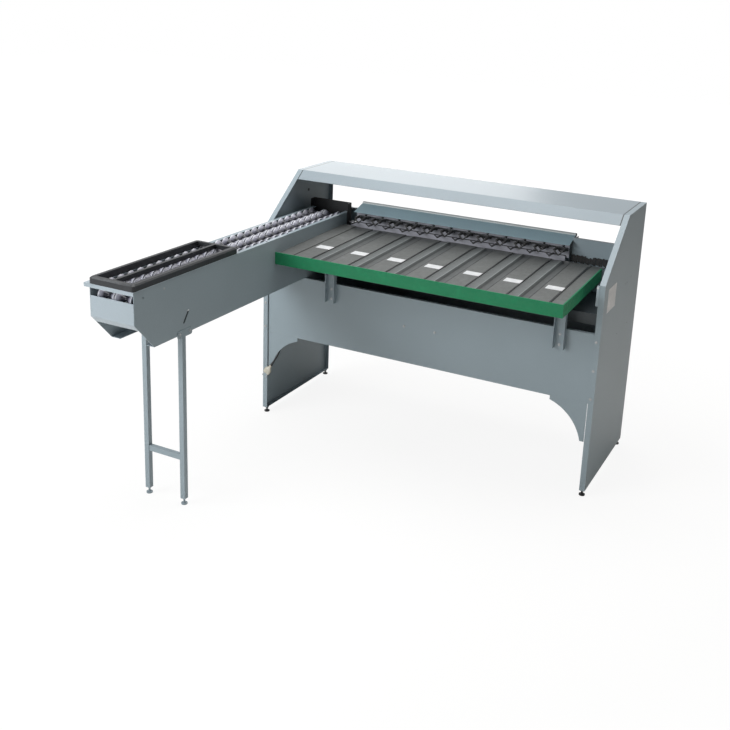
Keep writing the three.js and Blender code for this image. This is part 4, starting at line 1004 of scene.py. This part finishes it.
def make_flap():
    """Strips of uneven length, width and lean, every other one set a little back."""
    pitch = (FLAP_RIGHT - FLAP_LEFT) / FLAP_TEETH
    parts = []
    for i in range(FLAP_TEETH):
        sway = math.sin(i * SWAY_STEP)
        lean = math.sin(i * LEAN_STEP + LEAN_START)
        top = FLAP_TOP + FLAP_TOP_UNEVEN * sway - (FLAP_NOTCH_DEPTH if i in FLAP_NOTCH else 0.0)
        foot = FLAP_FOOT + FLAP_FOOT_UNEVEN * lean
        left = FLAP_LEFT + i * pitch
        foot_left = left + lean * STRIP_LEAN
        width = pitch * STRIP_WIDTHS[i % 2]
        front = FLAP_FRONT + FLAP_STAGGER * (i % 2)
        feet = [(foot_left, foot), (foot_left + width * STRIP_TAPER, foot + sway)]
        parts.append(upright([(left, top), *feet, (left + width, top)], front, front + FLAP_SHEET))
    return gathered(parts)


flap_strips = new_object("lane_flap_strips", *make_flap(), rubber)
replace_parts(flap_strips, "lane_flap")

# Black blocks behind the oblique slots in the conveyor's sides as painted shade in the slots, and a cap in
# the left panel's cable hole
SLOT_SHADOW_X = [(35.6, 37.4), (217.4, 219.2)]
SLOT_SHADOW_Y = (-862, -796)
SLOT_SHADOW_Z = (706, 757)
CABLE_HOLE = (0.3, 364, 971)
CAP_PROFILE = [(0.0, 0.0046), (0.0018, 0.0046), (0.0018, 0.0068), (0.0028, 0.0068), (0.0034, 0.0058)]
slot_shadows = []
# Black blocks behind the slots: painted shade
for x0, x1 in SLOT_SHADOW_X:
    slot_shadows.append(block(at_mm(x0, SLOT_SHADOW_Y[0], SLOT_SHADOW_Z[0]), at_mm(x1, SLOT_SHADOW_Y[1], SLOT_SHADOW_Z[1])))
new_object("slot_shadow_blocks", *gathered(slot_shadows), paint_black)
cap = lathe(CAP_PROFILE, LARGE_ROUND, facing(RIGHT, at_mm(*CABLE_HOLE)))
new_object("cable_hole_cap", *cap, black_plastic)

# Fasteners: profiles of height and radius, both as shares of the head's radius
RIVET_RISE = 0.45
PAN_HEAD = [(0, 1.35), (0.22, 1.35), (0.22, 1), (0.57, 0.96), (0.82, 0.72), (0.92, 0.3), (0.67, 0.28)]
BLIND_RIVET = [(0, 1), (0.3, 0.85), (RIVET_RISE, 0.3), (0.25, 0.25)]


def pan_head(at, normal, radius):
    """Pan-head screw on a washer."""
    return lathe([(x * radius, r * radius) for x, r in PAN_HEAD], MEDIUM_ROUND, facing(normal, at))


def blind_rivet(at, normal, radius):
    return lathe([(x * radius, r * radius) for x, r in BLIND_RIVET], SMALL_ROUND, facing(normal, at))


OUTER_RIGHT = 1500
PANEL_RECESS = 6
BRACKET_SHEET = 2.3
SCREW = 0.0042
# Screws in the front, as (x, z) places on faces at the given y
FRONT_SCREWS = {
    PANEL_RECESS: [(687, 545.5), (825, 545.5)],
    0: [(1486, 641), (1486, 525), (1486, 410), (11, 524), (11, 415)],
    PANEL_RECESS - BRACKET_SHEET: [(342, 602), (342, 645), (1345, 602), (1345, 645)],
}
front_screws = []
for y, screw_places in FRONT_SCREWS.items():
    front_screws += [pan_head(at_mm(x, y, z), FRONT, SCREW) for x, z in screw_places]
new_object("front_screws", *gathered(front_screws), bright_steel)

# Rivets in the right side, sunk so that they stand barely proud of it
SIDE_RIVET = 0.0045
RIVET_PROUD = 0.0003
SIDE_RIVETS = [(329, 789), (351, 789), (411, 800), (421, 599), (264, 599)]
sunk = Vector((RIVET_PROUD - SIDE_RIVET * RIVET_RISE, 0, 0))
rivets = [blind_rivet(at_mm(OUTER_RIGHT, y, z) + sunk, RIGHT, SIDE_RIVET) for y, z in SIDE_RIVETS]
new_object("side_rivets", *gathered(rivets), paint_black)

# Rivets on the flange beside the rollers, and the bolts of the legs with a rivet near the shelf
FLANGE_RIVET = 0.0032
FLANGE_RIVETS = [(212, -301, 900), (212, -148, 900)]
LEG_BOLT = 0.004
LEG_BOLTS = [(225.3, -868, 684), (225.3, -812, 684)]
SHELF_RIVET = 0.0035
SHELF_RIVET_AT = (222, -945, 875)
flange_rivets = [blind_rivet(at_mm(*place), UP, FLANGE_RIVET) for place in FLANGE_RIVETS]
new_object("flange_rivets", *gathered(flange_rivets), paint_black)
bolts = [pan_head(at_mm(*place), RIGHT, LEG_BOLT) for place in LEG_BOLTS]
bolts.append(blind_rivet(at_mm(*SHELF_RIVET_AT), RIGHT, SHELF_RIVET))
new_object("leg_bolts", *gathered(bolts), bright_steel)

# Stop tab on the inner side of the right flange, held by one white screw
TAB_LOW = (1468, 2, 780)
TAB_HIGH = (1477.5, 10, 859)
TAB_EDGE = 0.001
TAB_SCREW = 0.0032
TAB_SCREW_AT = (1472.5, 2, 851)
tab = new_object("flange_tab", *block(at_mm(*TAB_LOW), at_mm(*TAB_HIGH)), paint_pale)
bevelled(tab, TAB_EDGE)
new_object("flange_tab_screw", *pan_head(at_mm(*TAB_SCREW_AT), FRONT, TAB_SCREW), label_white)

# Table: its own frame starts at the lower edge and follows the slope, in millimetres
TABLE_FOOT = at_mm(0, -254.5, 835)
TABLE_FALL = 13.2
TABLE_LENGTH = 560.5
TABLE_FRONT = 5.3
TABLE_BACK = 560.66
TABLE_RIGHT = 1421
FIRST_LANE = 288.6
LANE_PITCH = 165
LANE_WIDTH = LANE_PITCH / 2
LANES = 7
table_slope = Matrix.Rotation(math.atan2(TABLE_FALL, TABLE_LENGTH), 4, "X")
table_place = Matrix.Translation(TABLE_FOOT) @ table_slope


def on_table(x, y, z):
    return Vector((x, y, z)) * MM


# Lane dividers: long low ramps to a rolled crest, a steep fall and a flat strip beside the lane
DIVIDER_FLAT = 0.26
DIVIDER_SHARES = [(0, 0), (0.57, 0.94), (0.60, 1), (0.625, 0.94), (0.72, DIVIDER_FLAT), (1, DIVIDER_FLAT)]
# Share of the crest colour at each point of the section: a painted highlight on the crest that fades down
# both faces
CREST_HIGHLIGHT = [0.05, 0.25, 1.0, 0.2, 0.0, 0.1]
FLAT_CREST_SHARE = 0.1
DIVIDER_INSET = 0.4
DIVIDER_FOOT = -2.7
DIVIDER_RISE = 11.0
DIVIDER_SINK = 0.2
DIVIDER_BACK = TABLE_BACK - 28.0
DIVIDER_END_RUN = DIVIDER_RISE * 0.6
DIVIDER_SHARP = 24


def divider_section(y):
    """Upper edge of one divider at a distance along the slope, from its left foot to its right."""
    width = LANE_WIDTH - 2 * DIVIDER_INSET
    edge = [(DIVIDER_INSET + x * width, DIVIDER_FOOT + z * DIVIDER_RISE) for x, z in DIVIDER_SHARES]
    return [Vector((x, y, z)) for x, z in edge]


def make_divider(number):
    """Pressed ramp that ends in a closed slope before the flat strip at the table's top edge."""
    sections = [divider_section(TABLE_FRONT), divider_section(DIVIDER_BACK)]
    flat = [Vector((p.x, p.y, DIVIDER_FOOT + DIVIDER_FLAT * DIVIDER_RISE)) for p in sections[1]]
    flat[0].z = DIVIDER_FOOT
    sections.append([point + Vector((0, DIVIDER_END_RUN, 0)) for point in flat])
    sections.append([Vector((p.x, TABLE_BACK, p.z)) for p in flat])
    start_x = FIRST_LANE + LANE_PITCH * number - LANE_WIDTH
    place = table_place @ Matrix.Translation(on_table(start_x, 0, 0))
    vertices = []
    crest = []
    for i, section in enumerate(sections):
        for highlight_share, point in zip(CREST_HIGHLIGHT, section):
            vertices.append(place @ (point * MM))
            crest.append(highlight_share if i < 2 else FLAT_CREST_SHARE)
        for end in (section[-1], section[0]):
            vertices.append(place @ on_table(end.x, end.y, DIVIDER_FOOT - DIVIDER_SINK))
            crest.append(0.0)
    faces = tube_faces(len(sections), len(DIVIDER_SHARES) + 2)
    node = f"lane_divider_{number}"
    made = new_object(f"pressed_{node}", vertices, faces, ridge_steel, "frame", DIVIDER_SHARP)
    # Share of the crest's painted highlight at each point
    worn = made.data.attributes.new("crest", "FLOAT", "POINT")
    for k, highlight_share in enumerate(crest):
        worn.data[k].value = highlight_share
    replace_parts(made, node)


for divider_number in range(1, LANES):
    make_divider(divider_number)

# Black strips beside the flats, where each sheet's edge turns down: painted shadow of the step at each edge
SHADOW_LOW = 0.05
SHADOW_HIGH = 0.25
SHADOW_RIGHT = 4.6
SHADOW_LEFT = 2.6
SHADOW_LAST = 7.0
SHADOW_FRONT = TABLE_FRONT + 1
EDGE_GAP = 0.2


def shadow_strip(x0, x1, back):
    return block(on_table(x0, SHADOW_FRONT, SHADOW_LOW), on_table(x1, back, SHADOW_HIGH), table_place)


shadow_strips = []
for lane in range(LANES):
    flat_left = FIRST_LANE + LANE_PITCH * lane
    flat_right = flat_left + LANE_WIDTH
    right_width = SHADOW_LAST if lane == LANES - 1 else SHADOW_RIGHT
    shadow_strips.append(shadow_strip(flat_right - right_width, flat_right, DIVIDER_BACK))
    if lane > 0:
        shadow_strips.append(shadow_strip(flat_left, flat_left + SHADOW_LEFT, DIVIDER_BACK))
# The last strip is painted shadow in the gap before the bumper
shadow_strips.append(shadow_strip(TABLE_RIGHT - SHADOW_RIGHT, TABLE_RIGHT - EDGE_GAP, TABLE_BACK))
new_object("lane_gap_shadows", *gathered(shadow_strips), paint_black)

# Blank labels: one on the outer side, one at the foot of each lane
LABEL_THICKNESS = 0.4
SIDE_LABEL_Y = (56, 174)
SIDE_LABEL_Z = (741, 836)
LABEL_WIDTH = 66
LABEL_EDGE = 3
LABEL_FRONT = 182
LABEL_BACK = 225


def make_label(name, low, high, place=Matrix()):
    label = new_object(name, *block(low, high, place), label_white)
    bevelled(label, LABEL_THICKNESS * MM / 3, 1)


make_label(
    "side_label",
    at_mm(OUTER_RIGHT, SIDE_LABEL_Y[0], SIDE_LABEL_Z[0]),
    at_mm(OUTER_RIGHT + LABEL_THICKNESS, SIDE_LABEL_Y[1], SIDE_LABEL_Z[1]),
)
for lane in range(LANES):
    right = FIRST_LANE + LANE_PITCH * lane + LANE_WIDTH - LABEL_EDGE
    low = on_table(right - LABEL_WIDTH, LABEL_FRONT, 0)
    high = on_table(right, LABEL_BACK, LABEL_THICKNESS)
    make_label(f"lane_label_{lane + 1}", low, high, table_place)

# Studio: a pale floor, a white surround and soft lamps from above and from all sides
WHITE = (1, 1, 1, 1)
FLOOR_SIZE = 30.0
FLOOR_GLOW = 1.06
FLOOR_COLOR = (0.85, 0.84, 0.82, 1)
FLOOR_WHITE_NEAR = 0.84
FLOOR_NEAR = 1.4
FLOOR_FAR = 3.6
FILL_COLOR = (0.97, 0.97, 0.95, 1)
FILL_STRENGTH = 0.13
GLOSSY_SHARE = 0.6


def combined(tree, operation, first, second):
    """Result of a math node on an output and on another output or a plain number."""
    node = tree.nodes.new("ShaderNodeMath")
    node.operation = operation
    tree.links.new(first, node.inputs[0])
    if isinstance(second, float):
        node.inputs[1].default_value = second
    else:
        tree.links.new(second, node.inputs[1])
    return node.outputs[0]


def blended(tree, output, share, first, second):
    """Goes from the first shader to the second with the share."""
    mix = tree.nodes.new("ShaderNodeMixShader")
    tree.links.new(share, mix.inputs["Fac"])
    tree.links.new(first.outputs[0], mix.inputs[1])
    tree.links.new(second.outputs[0], mix.inputs[2])
    tree.links.new(mix.outputs[0], output.inputs["Surface"])


def make_floor():
    material = bpy.data.materials.new("floor")
    material.use_nodes = True
    tree = material.node_tree
    tree.nodes.clear()
    output = tree.nodes.new("ShaderNodeOutputMaterial")
    glow = tree.nodes.new("ShaderNodeEmission")
    glow.inputs["Color"].default_value = WHITE
    glow.inputs["Strength"].default_value = FLOOR_GLOW
    dull = tree.nodes.new("ShaderNodeBsdfDiffuse")
    dull.inputs["Color"].default_value = FLOOR_COLOR
    path = tree.nodes.new("ShaderNodeLightPath")
    distance = tree.nodes.new("ShaderNodeVectorMath")
    distance.operation = "LENGTH"
    tree.links.new(tree.nodes.new("ShaderNodeTexCoord").outputs["Object"], distance.inputs[0])
    fade = tree.nodes.new("ShaderNodeMapRange")
    fade.inputs["From Min"].default_value = FLOOR_NEAR
    fade.inputs["From Max"].default_value = FLOOR_FAR
    fade.inputs["To Min"].default_value = FLOOR_WHITE_NEAR
    fade.inputs["To Max"].default_value = 1.0
    tree.links.new(distance.outputs["Value"], fade.inputs["Value"])
    share = combined(tree, "MULTIPLY", path.outputs["Is Camera Ray"], fade.outputs["Result"])
    blended(tree, output, share, dull, glow)
    half = FLOOR_SIZE / 2
    corners = [(-half, -half, 0), (half, -half, 0), (half, half, 0), (-half, half, 0)]
    floor = new_object("floor", corners, [(0, 1, 2, 3)], material, body=None)


def make_world():
    world = bpy.data.worlds.new("studio")
    bpy.context.scene.world = world
    world.use_nodes = True
    tree = world.node_tree
    tree.nodes.clear()
    output = tree.nodes.new("ShaderNodeOutputWorld")
    seen = tree.nodes.new("ShaderNodeBackground")
    seen.inputs["Color"].default_value = WHITE
    fill = tree.nodes.new("ShaderNodeBackground")
    fill.inputs["Color"].default_value = FILL_COLOR
    fill.inputs["Strength"].default_value = FILL_STRENGTH
    path = tree.nodes.new("ShaderNodeLightPath")
    mirrored = combined(tree, "MULTIPLY", path.outputs["Is Glossy Ray"], GLOSSY_SHARE)
    share = combined(tree, "MAXIMUM", path.outputs["Is Camera Ray"], mirrored)
    blended(tree, output, share, fill, seen)


def lamp(name, at, target, size, power, color=(1, 1, 1)):
    data = bpy.data.lights.new(name, "AREA")
    data.shape = "RECTANGLE"
    data.size, data.size_y = size
    data.energy = power
    data.color = color
    made = bpy.data.objects.new(name, data)
    made.location = at
    made.rotation_euler = (Vector(target) - Vector(at)).to_track_quat("-Z", "Y").to_euler()
    bpy.context.scene.collection.objects.link(made)


make_floor()
make_world()
MIDDLE = (0, 0, 0.7)
lamp("key_left", (-2.9, -3.2, 2.9), MIDDLE, (2.4, 2.4), 104, (0.94, 0.98, 1.0))
lamp("overhead", (-0.4, 0.4, 4.4), MIDDLE, (4.0, 3.0), 120)
lamp("front_fill", (-1.6, -4.6, 1.6), MIDDLE, (2.4, 2.0), 34)
lamp("warm_right", (5.0, 1.2, 1.6), MIDDLE, (2.0, 2.0), 12, (1.0, 0.86, 0.72))
lamp("rim_behind", (-2.2, 4.6, 2.0), (-0.3, 0.6, 1.0), (2.4, 1.2), 21)
